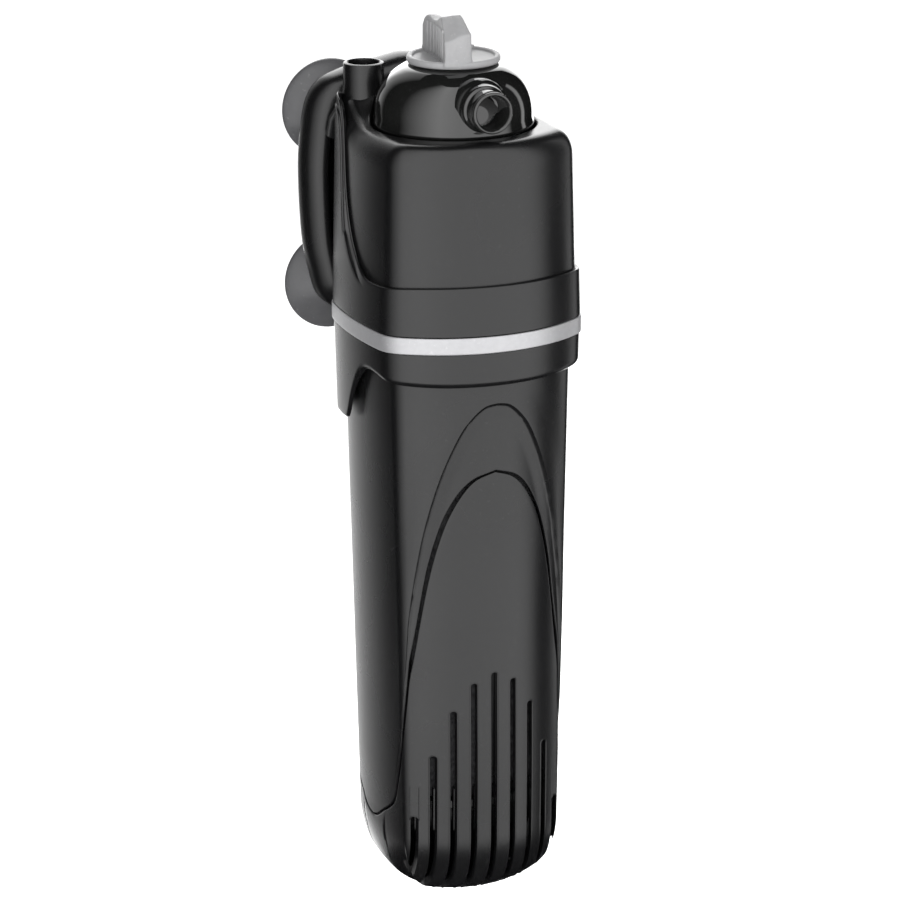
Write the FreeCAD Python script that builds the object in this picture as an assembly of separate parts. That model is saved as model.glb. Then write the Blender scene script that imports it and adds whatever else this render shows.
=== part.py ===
import FreeCAD, Part
import math
import os

# Internal aquarium filter: a motor head hangs on a suction-cup holder, with a swivelling outlet
# dome on top and a pull-off foam container with a slotted intake cover below.
# Millimetres, +Z up, front of the filter towards -Y. The shapes are drawn in the filter's own
# frame, with Z = 0 at the lowest point and the motor axis on X = Y = 0, and moved on saving so
# that the origin is at the middle of the four cups on the glass.

os.makedirs("parts", exist_ok=True)

# where the glass and the cups are, in the filter's frame
glass_distance = 46.0
cup_mid_height = 192.0
to_glass = FreeCAD.Vector(0, -glass_distance, -cup_mid_height)

# body section: bowed front, straight sides, flat back
body_half_width = 29.3
body_front = 32.9
body_back = 27.3
front_bow_radius = 42.0
front_corner_radius = 9.7
rear_corner_radius = 12.0
side_bow_radius = 120.0
side_front_turn = 7.6

# heights of the main joints
container_foot = 30.3
container_rim = 162.5
ring_bottom = 163.9
ring_top = 168.5
band_top = 181.5
head_top = 219.8
shoulder_top = 223.0
skirt_front = 154.2
skirt_tab = 137.8

# walls
container_wall = 1.8
surround_wall = 1.6
housing_wall = 2.2
skirt_wall = 2.0

# container: inset from the body section, growing downwards
container_inset = 3.3
container_draft = 0.022
draft_height = 150.0

# intake cover
bowl_height = 26.0
bowl_floor = 2.7
bowl_rise = 23.6
bowl_fullness = 2.8
bowl_middle = -2.8
arch_half_width = 20.8
arch_foot = 36.0
arch_top = 129.0
arch_gap = 0.5
tongue_sink = 0.35
slot_width = 1.9
slot_spacing = 5.8
slot_closing = 0.034
slot_tops = [71.5, 68.0, 60.5, 48.5, 31.0]

# outlet dome, nozzle and knob
recess_radius = 22.3
deck_height = 212.0
boss_radius = 18.8
dome_bore = 19.6
nozzle_height = 227.7
nozzle_radius = 5.5
nozzle_bore = 4.5
nozzle_root = 5.1
nozzle_tip = 27.4
knob_radius = 12.65
knob_height = 236.6
knob_top = 250.0
stem_radius = 2.9

# pump and motor
chamber_radius = 18.0
eye_radius = 8.0
rotor_radius = 6.2
well_radius = 7.6
shaft_radius = 1.0
riser_offset = 12.8
riser_radius = 4.2

# cable outlet tube
tube_x = -17.5
tube_y = 21.2
tube_top = 234.0
tube_radius = 5.6
tube_bore = 4.3
gland_radius = 3.9

# holder and cups
tray_front = 28.2
plate_front = 36.0
plate_back = 38.0
cup_x = 18.5
cup_rise = 24.6
cup_head = 3.3
cup_neck = 2.2
cup_radius = 13.8

up = FreeCAD.Vector(0, 0, 1)
front = FreeCAD.Vector(0, -1, 0)
rear = FreeCAD.Vector(0, 1, 0)


def save(shape, name):
    moved = shape.copy()
    moved.translate(to_glass)
    print(name, "solids", len(moved.Solids), "valid", moved.isValid(), "volume", round(moved.Volume))
    moved.exportStep("parts/" + name + ".step")


def point(x, y, z=0.0):
    return FreeCAD.Vector(x, y, z)


def arc(first, middle, last):
    return Part.Arc(first, middle, last).toShape()


def body_wire(z, inset=0.0, scale=1.0, middle=0.0):
    """Closed body outline at height z, moved in by inset and scaled about (0, middle)."""
    half = body_half_width - inset
    bow = front_bow_radius - inset
    corner = max(front_corner_radius - inset, 1.0)
    heel = rear_corner_radius - inset
    nose = body_front - inset
    tail = body_back - inset
    corner_x = half - corner
    corner_y = bow - nose - math.sqrt((bow - corner) ** 2 - corner_x ** 2)
    bow_turn = math.atan2(corner_y - (bow - nose), corner_x)
    side = side_bow_radius - inset
    side_front = -math.radians(side_front_turn)
    side_x = corner_x - (side - corner) * math.cos(side_front)
    side_y = corner_y - (side - corner) * math.sin(side_front)
    heel_y = tail - heel
    side_rear = math.asin((heel_y - side_y) / (side - heel))
    heel_x = side_x + (side - heel) * math.cos(side_rear)
    quarter = math.pi / 2

    def around(x, y, radius, turn):
        return x + radius * math.cos(turn), y + radius * math.sin(turn)

    bow_end = around(0, bow - nose, bow, bow_turn)
    corner_mid = around(corner_x, corner_y, corner, (bow_turn + side_front) / 2)
    side_start = around(side_x, side_y, side, side_front)
    side_mid = around(side_x, side_y, side, (side_front + side_rear) / 2)
    side_end = around(side_x, side_y, side, side_rear)
    heel_mid = around(heel_x, heel_y, heel, (side_rear + quarter) / 2)

    def spot(x, y):
        return point(x * scale, middle + (y - middle) * scale, z)

    def other(place):
        return -place[0], place[1]

    edges = [
        arc(spot(*other(bow_end)), spot(0, -nose), spot(*bow_end)),
        arc(spot(*bow_end), spot(*corner_mid), spot(*side_start)),
        arc(spot(*side_start), spot(*side_mid), spot(*side_end)),
        arc(spot(*side_end), spot(*heel_mid), spot(heel_x, tail)),
        Part.LineSegment(spot(heel_x, tail), spot(-heel_x, tail)).toShape(),
        arc(spot(-heel_x, tail), spot(*other(heel_mid)), spot(*other(side_end))),
        arc(spot(*other(side_end)), spot(*other(side_mid)), spot(*other(side_start))),
        arc(spot(*other(side_start)), spot(*other(corner_mid)), spot(*other(bow_end))),
    ]
    return Part.Wire(edges)


def body_block(levels):
    """Solid through body outlines given as (z, inset)."""
    return Part.makeLoft([body_wire(z, inset) for z, inset in levels], True, True)


def draft(z):
    return container_inset + container_draft * (draft_height - z)


def drafted_block(low, high, extra):
    return body_block([(low, draft(low) + extra), (high, draft(high) + extra)])


def cylinder(radius, low, high, x=0.0, y=0.0):
    return Part.makeCylinder(radius, high - low, point(x, y, low), up)


def tube(outer, inner, low, high, x=0.0, y=0.0):
    return cylinder(outer, low, high, x, y).cut(cylinder(inner, low - 1, high + 1, x, y))


def box(x_low, x_high, y_low, y_high, z_low, z_high):
    return Part.makeBox(x_high - x_low, y_high - y_low, z_high - z_low, point(x_low, y_low, z_low))


def turned(profile):
    """Solid of revolution about the motor axis from (radius, height) points."""
    corners = [point(r, 0, z) for r, z in profile]
    face = Part.Face(Part.makePolygon(corners + corners[:1]))
    return face.revolve(point(0, 0, 0), up, 360)


def side_cutter(edges_through, corners):
    """Prism across the filter from a curve and straight corners in the Y-Z plane."""
    reach = 60.0
    curve = Part.BSplineCurve()
    curve.interpolate([point(-reach, y, z) for y, z in edges_through])
    outline = [curve.toShape()]
    path = [edges_through[-1]] + corners + [edges_through[0]]
    for start, end in zip(path, path[1:]):
        outline.append(Part.LineSegment(point(-reach, *start), point(-reach, *end)).toShape())
    return Part.Face(Part.Wire(outline)).extrude(point(2 * reach, 0, 0))


def one_solid(shape):
    shape = shape.removeSplitter()
    if len(shape.Solids) == 1:
        return shape.Solids[0]
    return shape


# --- holder and suction cups ---

def holder_outline(inset, low, high):
    """Shield-shaped prism between two depths."""
    wide = 31.0 - inset
    base = 22.5 - inset
    shoulder = 24.5 - inset
    bottom = 162.0 + inset
    top = 232.0 - inset
    shoulder_z = 227.4 - inset
    right = [
        arc(point(base, low, bottom), point(base + 7.2, low, 178.0), point(wide, low, 200.0)),
        arc(point(wide, low, 200.0), point(wide - 0.7, low, 215.5 - inset / 2),
            point(shoulder, low, shoulder_z)),
    ]
    cap = arc(point(shoulder, low, shoulder_z), point(0, low, top), point(-shoulder, low, shoulder_z))
    left = [
        arc(point(-shoulder, low, shoulder_z), point(-wide + 0.7, low, 215.5 - inset / 2),
            point(-wide, low, 200.0)),
        arc(point(-wide, low, 200.0), point(-base - 7.2, low, 178.0), point(-base, low, bottom)),
    ]
    foot = Part.LineSegment(point(-base, low, bottom), point(base, low, bottom)).toShape()
    face = Part.Face(Part.Wire(right + [cap] + left + [foot]))
    return face.extrude(point(0, high - low, 0))


def cup_places():
    return [
        ("suction_cup_upper_left", -cup_x, cup_mid_height + cup_rise),
        ("suction_cup_upper_right", cup_x, cup_mid_height + cup_rise),
        ("suction_cup_lower_left", -cup_x, cup_mid_height - cup_rise),
        ("suction_cup_lower_right", cup_x, cup_mid_height - cup_rise),
    ]


rail_low = 176.0
rail_high = 198.0
rail_half = 9.0
guide_top = 196.0


def holder_plate():
    tray = holder_outline(0.0, tray_front, plate_back)
    tray = tray.cut(holder_outline(2.0, tray_front - 1, plate_front))
    rail_room = 0.35
    for side in (-1, 1):
        wall = sorted((side * (rail_half + rail_room), side * (rail_half + rail_room + 2.2)))
        lip = sorted((side * 4.4, side * (rail_half + rail_room + 2.2)))
        tray = tray.fuse(box(*wall, 28.8, plate_front, rail_low - 4, guide_top))
        tray = tray.fuse(box(*lip, 28.8, 30.4, rail_low - 4, guide_top))
    tray = tray.fuse(box(-rail_half - 2, rail_half + 2, 28.8, plate_front, rail_low - 4, rail_low - 0.02))
    for name, x, z in cup_places():
        tray = tray.cut(Part.makeCylinder(cup_neck, 8, point(x, plate_front - 3, z), rear))
    return one_solid(tray)


def hanger_rail():
    stem = box(-4.0, 4.0, body_back, 31.0, rail_low, rail_high)
    flange = box(-rail_half, rail_half, 30.8, 33.4, rail_low, rail_high)
    foot = box(-12.0, 12.0, body_back, body_back + 1.0, rail_low, rail_high)
    return one_solid(stem.fuse(flange).fuse(foot))


def suction_cup(x, z):
    glass = glass_distance
    profile = [
        (0.0, 33.4), (cup_head - 1.0, 33.4), (cup_head, 34.2), (cup_head, plate_front),
        (cup_neck, plate_front), (cup_neck, plate_back),
        (4.8, plate_back), (6.0, 38.8), (8.4, 40.4), (11.2, 42.6), (13.2, 44.6), (cup_radius, 45.4),
        (cup_radius, glass), (13.0, glass), (9.0, 44.0), (4.0, 43.0), (0.0, 42.8),
    ]
    corners = [point(r, y, 0) for r, y in profile]
    face = Part.Face(Part.makePolygon(corners + corners[:1]))
    cup = face.revolve(point(0, 0, 0), rear, 360)
    cup.translate(point(x, 0, z))
    return cup


# --- pump head ---

def head_levels(inset, low, high, taper=1.2):
    """Body outline levels of the head, drawing in slightly towards the top."""
    return [(low, inset), (high, inset + taper * (high - low) / (head_top - ring_top))]


cheek_curve = [(-12.0, band_top), (-3.0, 184.7), (3.4, 192.0), (8.3, 203.0), (9.6, 213.0), (8.6, 226.0)]


def rear_surround():
    shell = body_block(head_levels(0.0, ring_top + 0.1, shoulder_top))
    hollow = body_block(head_levels(surround_wall, ring_top - 1, head_top + 0.1))
    shell = shell.cut(hollow)
    window = side_cutter(cheek_curve, [(8.6, 240.0), (-60.0, 240.0), (-60.0, band_top)])
    shell = shell.cut(window)
    shell = shell.fuse(cylinder(tube_radius, head_top + 0.1, tube_top, tube_x, tube_y))
    shell = shell.cut(cylinder(recess_radius, 200.0, 240.0))
    shell = shell.cut(cylinder(gland_radius, 205.0, head_top + 0.2, tube_x, tube_y))
    shell = shell.cut(cylinder(tube_bore, head_top + 0.1, 240.0, tube_x, tube_y))
    return one_solid(shell)


def motor_housing():
    gap = 0.1
    inset = surround_wall + gap
    edge = 6.0
    steps = 4
    levels = head_levels(inset, ring_top + 0.1, head_top - edge)
    base_inset = levels[-1][1]
    for step in range(1, steps + 1):
        turn = math.pi / 2 * step / steps
        levels.append((head_top - edge + edge * math.sin(turn), base_inset + 0.7 * edge * (1 - math.cos(turn))))
    outer = body_block(levels)
    inner = body_block(head_levels(inset + housing_wall, ring_top - 1, 209.0))
    shell = outer.cut(inner)
    shell = shell.cut(cylinder(recess_radius, deck_height, 240.0))
    shell = shell.fuse(tube(boss_radius, 17.4, deck_height - 1, 218.5))
    groove = turned([(17.85, 214.2), (19.5, 214.2), (19.5, 215.8), (17.85, 215.8)])
    shell = shell.cut(groove)
    shell = shell.cut(cylinder(riser_radius, 200.0, 216.0, 0, -riser_offset))
    shell = shell.cut(cylinder(gland_radius, 205.0, 240.0, tube_x, tube_y))
    return one_solid(shell)


def skirt_collar():
    outer = body_block([(skirt_tab, 0.9), (skirt_front, 0.8), (ring_bottom, 0.3)])
    inner = body_block([(skirt_tab - 1, 0.9 + skirt_wall), (ring_bottom + 1, 0.3 + skirt_wall)])
    skirt = outer.cut(inner)
    drop = [(-8.0, skirt_front), (-1.0, 151.8), (4.4, 146.0), (6.6, 141.0), (9.4, skirt_tab - 1)]
    below = side_cutter(drop, [(9.4, 120.0), (-60.0, 120.0), (-60.0, skirt_front)])
    skirt = skirt.cut(below)
    sleeve = body_block([(ring_bottom - 0.5, 1.7), (ring_top, 1.7)])
    sleeve = sleeve.cut(body_block([(ring_bottom - 2, 3.0), (ring_top + 1, 3.0)]))
    return one_solid(skirt.fuse(sleeve))


def trim_ring():
    outer = body_block([(ring_bottom, -0.25), (ring_top, -0.25)])
    return outer.cut(body_block([(ring_bottom - 1, 1.65), (ring_top + 1, 1.65)]))


def base_plate():
    plate = body_block([(165.5, 3.05), (ring_top, 3.05)])
    return plate.cut(cylinder(20.6, 160.0, 175.0))


def impeller_cover():
    disc = cylinder(20.4, 165.7, 168.4)
    disc = disc.fuse(cylinder(eye_radius + 1.4, 151.0, 166.0))
    disc = disc.cut(cylinder(eye_radius, 150.0, 170.0))
    spider = tube(4.2, 3.0, 165.7, 168.4)
    for count in range(3):
        arm = box(3.6, eye_radius + 0.6, -0.9, 0.9, 165.7, 168.4)
        arm.rotate(point(0, 0, 0), up, 120 * count)
        spider = spider.fuse(arm)
    return one_solid(disc.fuse(spider))


def pump_volute():
    cup = cylinder(20.0, 168.5, 180.5).cut(cylinder(chamber_radius, 168.0, 179.0))
    cup = cup.cut(cylinder(7.0, 170.0, 185.0))
    return cup.cut(cylinder(riser_radius - 0.8, 170.0, 185.0, 0, -riser_offset))


def riser_duct():
    return tube(riser_radius, riser_radius - 0.8, 180.5, deck_height, 0, -riser_offset)


def rotor_well():
    well = cylinder(well_radius, 180.5, 206.5).fuse(cylinder(8.4, 180.5, 181.5))
    well = well.cut(cylinder(6.9, 180.0, 203.4))
    well = well.cut(cylinder(3.0, 203.0, 205.0))
    return one_solid(well)


stack_low = 184.0
stack_high = 202.0


def stator_core():
    core = box(-19.0, 19.0, -7.0, 19.9, stack_low, stack_high)
    core = core.cut(box(-12.0, 12.0, -8.0, 14.0, stack_low - 1, stack_high + 1))
    for side in (-1, 1):
        pole = sorted((side * 5.0, side * 12.5))
        core = core.fuse(box(*pole, -7.0, 7.0, stack_low, stack_high))
    core = core.cut(cylinder(well_radius + 0.4, stack_low - 1, stack_high + 1))
    return one_solid(core)


def coil_bobbin():
    sleeve = box(-11.5, 11.5, 13.2, 20.7, stack_low - 1, stack_high + 1)
    for x in (-11.5, 10.3):
        sleeve = sleeve.fuse(box(x, x + 1.2, 11.0, 22.3, 181.6, 204.4))
    bobbin = sleeve.cut(box(-13.0, 13.0, 14.0, 19.9, stack_low, stack_high))
    return one_solid(bobbin)


def stator_coil():
    coil = box(-10.3, 10.3, 11.4, 22.0, 182.0, 204.0)
    return coil.cut(box(-12.0, 12.0, 13.2, 20.7, stack_low - 1, stack_high + 1))


def dome_seal():
    return Part.makeTorus(18.6, 0.72, point(0, 0, 215.0), up)


def impeller_shaft():
    return cylinder(shaft_radius, 166.2, 204.8)


def lower_bush():
    return tube(3.0, shaft_radius, 165.7, 169.3)


def upper_bush():
    return tube(3.0, shaft_radius, 203.4, 205.0)


def cable_gland():
    return tube(gland_radius, 2.9, 209.0, 217.5, tube_x, tube_y)


# --- outlet dome ---

dome_outside = [
    (21.7, 219.4), (21.7, 221.0), (21.3, 221.8), (21.4, 224.0), (20.9, 227.0), (19.7, 229.8),
    (18.4, 232.0), (16.5, 234.0), (13.6, 235.8), (12.6, 236.2),
]


def dome_core():
    """The dome's outside as a filled solid."""
    return turned([(0.0, 219.4)] + dome_outside + [(0.0, 236.2)])


def outlet_dome():
    skirt = [(20.6, 212.6), (20.6, 219.4)]
    inside = [(0.0, 234.4), (13.4, 234.4), (16.4, 231.6), (18.4, 228.4), (dome_bore, 224.0), (dome_bore, 212.6)]
    dome = turned(skirt + dome_outside + [(0.0, 236.2)] + inside)
    dome = dome.cut(Part.makeCylinder(nozzle_root, 30, point(0, 0, nozzle_height), front))
    dome = dome.cut(cylinder(stem_radius + 0.1, 230.0, 240.0))
    return one_solid(dome)


def outlet_nozzle():
    spout = Part.makeCylinder(nozzle_root, 5.2, point(0, -17.2, nozzle_height), front)
    tip = Part.makeCylinder(nozzle_radius, nozzle_tip - 22.0, point(0, -22.0, nozzle_height), front)
    collar = Part.makeCylinder(nozzle_radius + 0.8, 8.2, point(0, -14.0, nozzle_height), front)
    spout = spout.fuse(tip).fuse(collar.cut(dome_core()))
    spout = spout.cut(Part.makeCylinder(nozzle_bore, 10, point(0, -20.0, nozzle_height), front))
    spout = spout.cut(Part.makeCylinder(nozzle_bore - 0.9, 20, point(0, -15.0, nozzle_height), front))
    return one_solid(spout)


def knob_seal():
    return tube(4.6, stem_radius + 0.12, 233.1, 234.4)


# --- regulator ---

grip_turn = -7.0


def regulator_knob():
    disc = cylinder(knob_radius, knob_height, knob_height + 2.0)
    waist = 2.9
    end_half = 3.6
    reach = 11.5
    low = knob_height + 1.5
    plan = Part.Wire([
        arc(point(-end_half, -reach, low), point(0, -reach - 0.6, low), point(end_half, -reach, low)),
        arc(point(end_half, -reach, low), point(waist, 0, low), point(end_half, reach, low)),
        arc(point(end_half, reach, low), point(0, reach + 0.6, low), point(-end_half, reach, low)),
        arc(point(-end_half, reach, low), point(-waist, 0, low), point(-end_half, -reach, low)),
    ])
    grip = Part.Face(plan).extrude(point(0, 0, knob_top + 2 - low))
    crown = Part.makeCylinder(15.5, 20, point(-10, 0, knob_top - 15.5), FreeCAD.Vector(1, 0, 0))
    grip = grip.common(crown.fuse(box(-10, 10, -15, 15, low - 1, knob_height + 3)))
    grip.rotate(point(0, 0, 0), up, grip_turn)
    stem = cylinder(stem_radius, 220.0, knob_height + 0.5)
    return one_solid(disc.fuse(grip).fuse(stem))


def flow_shutter():
    hub = tube(4.6, stem_radius, 220.4, 223.4)
    gate = tube(15.8, 14.6, 220.4, 231.0)
    gate = gate.common(box(-20, 20, 8.0, 20, 215, 235))
    arm = box(-2.0, 2.0, 4.0, 14.8, 220.4, 222.4)
    return one_solid(hub.fuse(arm).fuse(gate))


# --- impeller ---

def rotor_magnet():
    return tube(rotor_radius, 2.2, 181.8, 203.0)


def impeller_wheel():
    hub = cylinder(5.0, 169.8, 181.8).fuse(cylinder(2.2, 181.0, 203.0))
    blade_reach = 15.5
    for count in range(6):
        blade = box(4.0, blade_reach, -0.7, 0.7, 170.2, 177.6)
        blade.rotate(point(0, 0, 0), up, 60 * count)
        hub = hub.fuse(blade)
    hub = hub.cut(cylinder(shaft_radius + 0.06, 160.0, 210.0))
    return one_solid(hub)


# --- container ---

def arch_half(z, grow):
    rise = min(max((z - arch_foot) / (arch_top - arch_foot + grow), 0.0), 1.0)
    return (arch_half_width + grow) * (1 - rise ** 2) ** 0.45


def arch_prism(grow, low):
    """Prism along Y through the arch-shaped front window, wider all round by grow."""
    back = -14.0
    top = arch_top + grow
    heights = [arch_foot + (top - arch_foot) * math.sin(math.pi / 2 * step / 10) for step in range(10)]
    side = [(arch_half(z, grow), z) for z in heights]
    curve_points = [point(x, -60, z) for x, z in side]
    curve_points.append(point(0, -60, top))
    curve_points += [point(-x, -60, z) for x, z in reversed(side)]
    curve = Part.BSplineCurve()
    curve.interpolate(curve_points)
    half = arch_half(arch_foot, grow)
    outline = [
        curve.toShape(),
        Part.LineSegment(point(-half, -60, arch_foot), point(-half, -60, low)).toShape(),
        Part.LineSegment(point(-half, -60, low), point(half, -60, low)).toShape(),
        Part.LineSegment(point(half, -60, low), point(half, -60, arch_foot)).toShape(),
    ]
    return Part.Face(Part.Wire(outline)).extrude(point(0, 60 + back, 0))


rib_half = 4.0


def container_shell():
    outer = drafted_block(container_foot, container_rim, 0.0)
    shell = outer.cut(drafted_block(container_foot - 1, container_rim + 1, container_wall))
    shell = shell.cut(arch_prism(arch_gap, container_foot - 3))
    rib = drafted_block(38.5, 134.0, 2.4).cut(drafted_block(38.0, 135.0, 3.6))
    rib = rib.common(box(-rib_half, rib_half, -40.0, -10.0, 38.0, 136.0))
    bridge = box(-rib_half + 0.5, rib_half - 0.5, -28.3, -26.2, 131.0, 133.5)
    rib = rib.fuse(bridge)
    return one_solid(shell.fuse(rib))


def foam_cartridge():
    foam = drafted_block(34.4, 150.2, 4.0)
    return foam.cut(cylinder(11.6, 30.0, 160.0))


def cartridge_core():
    core = drafted_block(150.5, 152.3, 3.6)
    core = core.fuse(cylinder(11.4, 34.6, 158.0))
    core = core.cut(cylinder(9.8, 36.4, 160.0))
    rows = 6
    for row in range(rows):
        low = 42.0 + row * 17.5
        for across in (box(-15, 15, -2.6, 2.6, low, low + 12), box(-2.6, 2.6, -15, 15, low, low + 12)):
            core = core.cut(across)
    return one_solid(core)


# --- intake cover ---

def bowl_block(shrink, low, wall):
    """Rounded bowl below the container's foot, smaller all round by shrink."""
    steps = 9
    wires = []
    for step in range(steps + 1):
        z = low + (bowl_height - low) * (1 - math.cos(math.pi / 2 * step / steps))
        rise = (bowl_height - z) / (bowl_rise - wall)
        scale = max(1 - rise ** bowl_fullness, 0.0) ** (1 / bowl_fullness)
        wires.append(body_wire(z, draft(z) + shrink, scale, bowl_middle))
    return Part.makeLoft(wires, True, True)


def intake_cover():
    rim = container_foot - 0.3
    outer = bowl_block(0.0, bowl_floor, 0.0).fuse(drafted_block(bowl_height, rim, 0.0))
    inner = bowl_block(container_wall, bowl_floor + 2.2, 2.0).fuse(drafted_block(bowl_height, rim + 1, container_wall))
    cover = outer.cut(inner)
    tongue = drafted_block(rim - 4, arch_top + 2, tongue_sink)
    tongue = tongue.cut(drafted_block(rim - 5, arch_top + 3, container_wall + 0.2))
    tongue = tongue.common(arch_prism(-arch_gap, rim - 4))
    lip = drafted_block(24.0, 36.5, container_wall + 0.3)
    lip = lip.cut(drafted_block(23.0, 38.0, container_wall + 1.5))
    step = drafted_block(24.0, 27.0, 1.0).cut(drafted_block(23.0, 28.0, container_wall + 1.5))
    cover = cover.fuse(tongue).fuse(lip).fuse(step)
    for place in range(-4, 5):
        x = place * slot_spacing - slot_closing * place ** 3
        top = slot_tops[abs(place)] - slot_width / 2
        slot = box(x - slot_width / 2, x + slot_width / 2, -40.0, -6.0, -2.0, top)
        slot = slot.fuse(Part.makeCylinder(slot_width / 2, 34, point(x, -40.0, top), rear))
        cover = cover.cut(slot)
    return one_solid(cover)


def foam_rest():
    plate = body_block([(31.4, draft(31.4) + 3.7), (33.4, draft(33.4) + 3.7)])
    for x in range(-12, 13, 6):
        for y in range(-18, 13, 6):
            plate = plate.cut(box(x - 2, x + 2, y - 2, y + 2, 30.0, 35.0))
    return plate


for place_name, place_x, place_z in cup_places():
    save(suction_cup(place_x, place_z), place_name)

save(holder_plate(), "holder_plate")
save(hanger_rail(), "hanger_rail")
save(rear_surround(), "rear_surround")
save(motor_housing(), "motor_housing")
save(skirt_collar(), "skirt_collar")
save(trim_ring(), "trim_ring")
save(base_plate(), "base_plate")
save(impeller_cover(), "impeller_cover")
save(pump_volute(), "pump_volute")
save(riser_duct(), "riser_duct")
save(rotor_well(), "rotor_well")
save(stator_core(), "stator_core")
save(coil_bobbin(), "coil_bobbin")
save(stator_coil(), "stator_coil")
save(dome_seal(), "dome_seal")
save(impeller_shaft(), "impeller_shaft")
save(lower_bush(), "lower_bush")
save(upper_bush(), "upper_bush")
save(cable_gland(), "cable_gland")
save(outlet_dome(), "outlet_dome")
save(outlet_nozzle(), "outlet_nozzle")
save(knob_seal(), "knob_seal")
save(regulator_knob(), "regulator_knob")
save(flow_shutter(), "flow_shutter")
save(rotor_magnet(), "rotor_magnet")
save(impeller_wheel(), "impeller_wheel")
save(container_shell(), "container_shell")
save(foam_cartridge(), "foam_cartridge")
save(cartridge_core(), "cartridge_core")
save(intake_cover(), "intake_cover")
save(foam_rest(), "foam_rest")
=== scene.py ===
import math

import bmesh
import bpy
from mathutils import Matrix, Vector


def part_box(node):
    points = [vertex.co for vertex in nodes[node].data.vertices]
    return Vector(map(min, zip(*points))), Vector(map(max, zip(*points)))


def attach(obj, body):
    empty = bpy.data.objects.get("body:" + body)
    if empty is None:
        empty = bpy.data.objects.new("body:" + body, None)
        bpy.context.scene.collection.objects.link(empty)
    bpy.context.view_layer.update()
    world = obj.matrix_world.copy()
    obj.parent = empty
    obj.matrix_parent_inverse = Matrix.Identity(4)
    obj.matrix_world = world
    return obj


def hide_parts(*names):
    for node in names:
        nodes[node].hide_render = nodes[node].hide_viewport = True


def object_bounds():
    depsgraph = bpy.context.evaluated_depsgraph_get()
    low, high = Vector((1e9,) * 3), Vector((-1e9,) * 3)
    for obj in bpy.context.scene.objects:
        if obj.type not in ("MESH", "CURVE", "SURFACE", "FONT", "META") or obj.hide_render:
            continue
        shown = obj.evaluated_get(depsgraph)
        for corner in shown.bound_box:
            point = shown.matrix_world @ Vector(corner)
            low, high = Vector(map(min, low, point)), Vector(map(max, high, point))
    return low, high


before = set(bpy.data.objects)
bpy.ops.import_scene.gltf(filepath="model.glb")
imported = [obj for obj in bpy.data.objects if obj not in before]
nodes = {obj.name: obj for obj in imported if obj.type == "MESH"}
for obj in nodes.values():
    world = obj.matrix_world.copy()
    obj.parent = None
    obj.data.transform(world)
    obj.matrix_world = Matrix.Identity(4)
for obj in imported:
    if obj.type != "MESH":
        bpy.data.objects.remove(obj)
cadLow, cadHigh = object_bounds()
print("frame loaded:", len(nodes), "CAD nodes")

# the filter is drawn in millimetres, from the motor axis (x, y) and its lowest point (z)
mm = 0.001
knobLow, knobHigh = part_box("regulator_knob")
axisY = (knobLow.y + knobHigh.y) / 2
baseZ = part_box("trim_ring")[0].z - 163.9 * mm


def toRow(point):
    return Vector((point[0] * mm, axisY + point[1] * mm, baseZ + point[2] * mm))


def clamp(value, low=0.0, high=1.0):
    return max(low, min(high, value))


def ease(value, low=0.0, high=1.0):
    t = clamp((value - low) / (high - low))
    return t * t * (3 - 2 * t)


def splinePoints(points, perSpan=14):
    # a smooth line through given points
    line = []
    for i in range(len(points) - 1):
        a, b = points[max(i - 1, 0)], points[i]
        c, d = points[i + 1], points[min(i + 2, len(points) - 1)]
        for k in range(perSpan):
            t = k / perSpan
            line.append(tuple(
                0.5 * (2 * b[n] + (c[n] - a[n]) * t + (2 * a[n] - 5 * b[n] + 4 * c[n] - d[n]) * t * t
                       + (3 * b[n] - a[n] - 3 * c[n] + d[n]) * t ** 3)
                for n in range(len(b))))
    line.append(tuple(points[-1]))
    return line


def readCurve(line, x):
    # the height of a left-to-right line at x
    if x <= line[0][0]:
        return line[0][1]
    for a, b in zip(line, line[1:]):
        if x <= b[0]:
            return a[1] + (b[1] - a[1]) * (x - a[0]) / max(b[0] - a[0], 1e-9)
    return line[-1][1]


# ---- mesh helpers

sharpAngle = 38


def smoothObject(name, bm, angle=sharpAngle):
    bmesh.ops.recalc_face_normals(bm, faces=bm.faces)
    if bm.calc_volume(signed=True) < 0:
        bmesh.ops.reverse_faces(bm, faces=bm.faces)
    mesh = bpy.data.meshes.new(name)
    bm.to_mesh(mesh)
    bm.free()
    for face in mesh.polygons:
        face.use_smooth = True
    mesh.set_sharp_from_angle(angle=math.radians(angle))
    piece = bpy.data.objects.new(name, mesh)
    bpy.context.scene.collection.objects.link(piece)
    return piece


def addGrid(bm, columns, ring=True):
    # columns go round the piece; each is a closed loop, or runs from one pole to the other
    verts = [[bm.verts.new(toRow(p)) for p in column] for column in columns]
    rows = len(columns[0])
    for i, here in enumerate(verts):
        there = verts[(i + 1) % len(verts)]
        for j in range(rows if ring else rows - 1):
            k = (j + 1) % rows
            bm.faces.new((here[j], here[k], there[k], there[j]))
    if not ring:
        for j in (0, rows - 1):
            pole = bm.verts.new(sum((v[j].co for v in verts), Vector()) / len(verts))
            for i in range(len(verts)):
                bm.faces.new((verts[i][j], verts[(i + 1) % len(verts)][j], pole))


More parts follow.
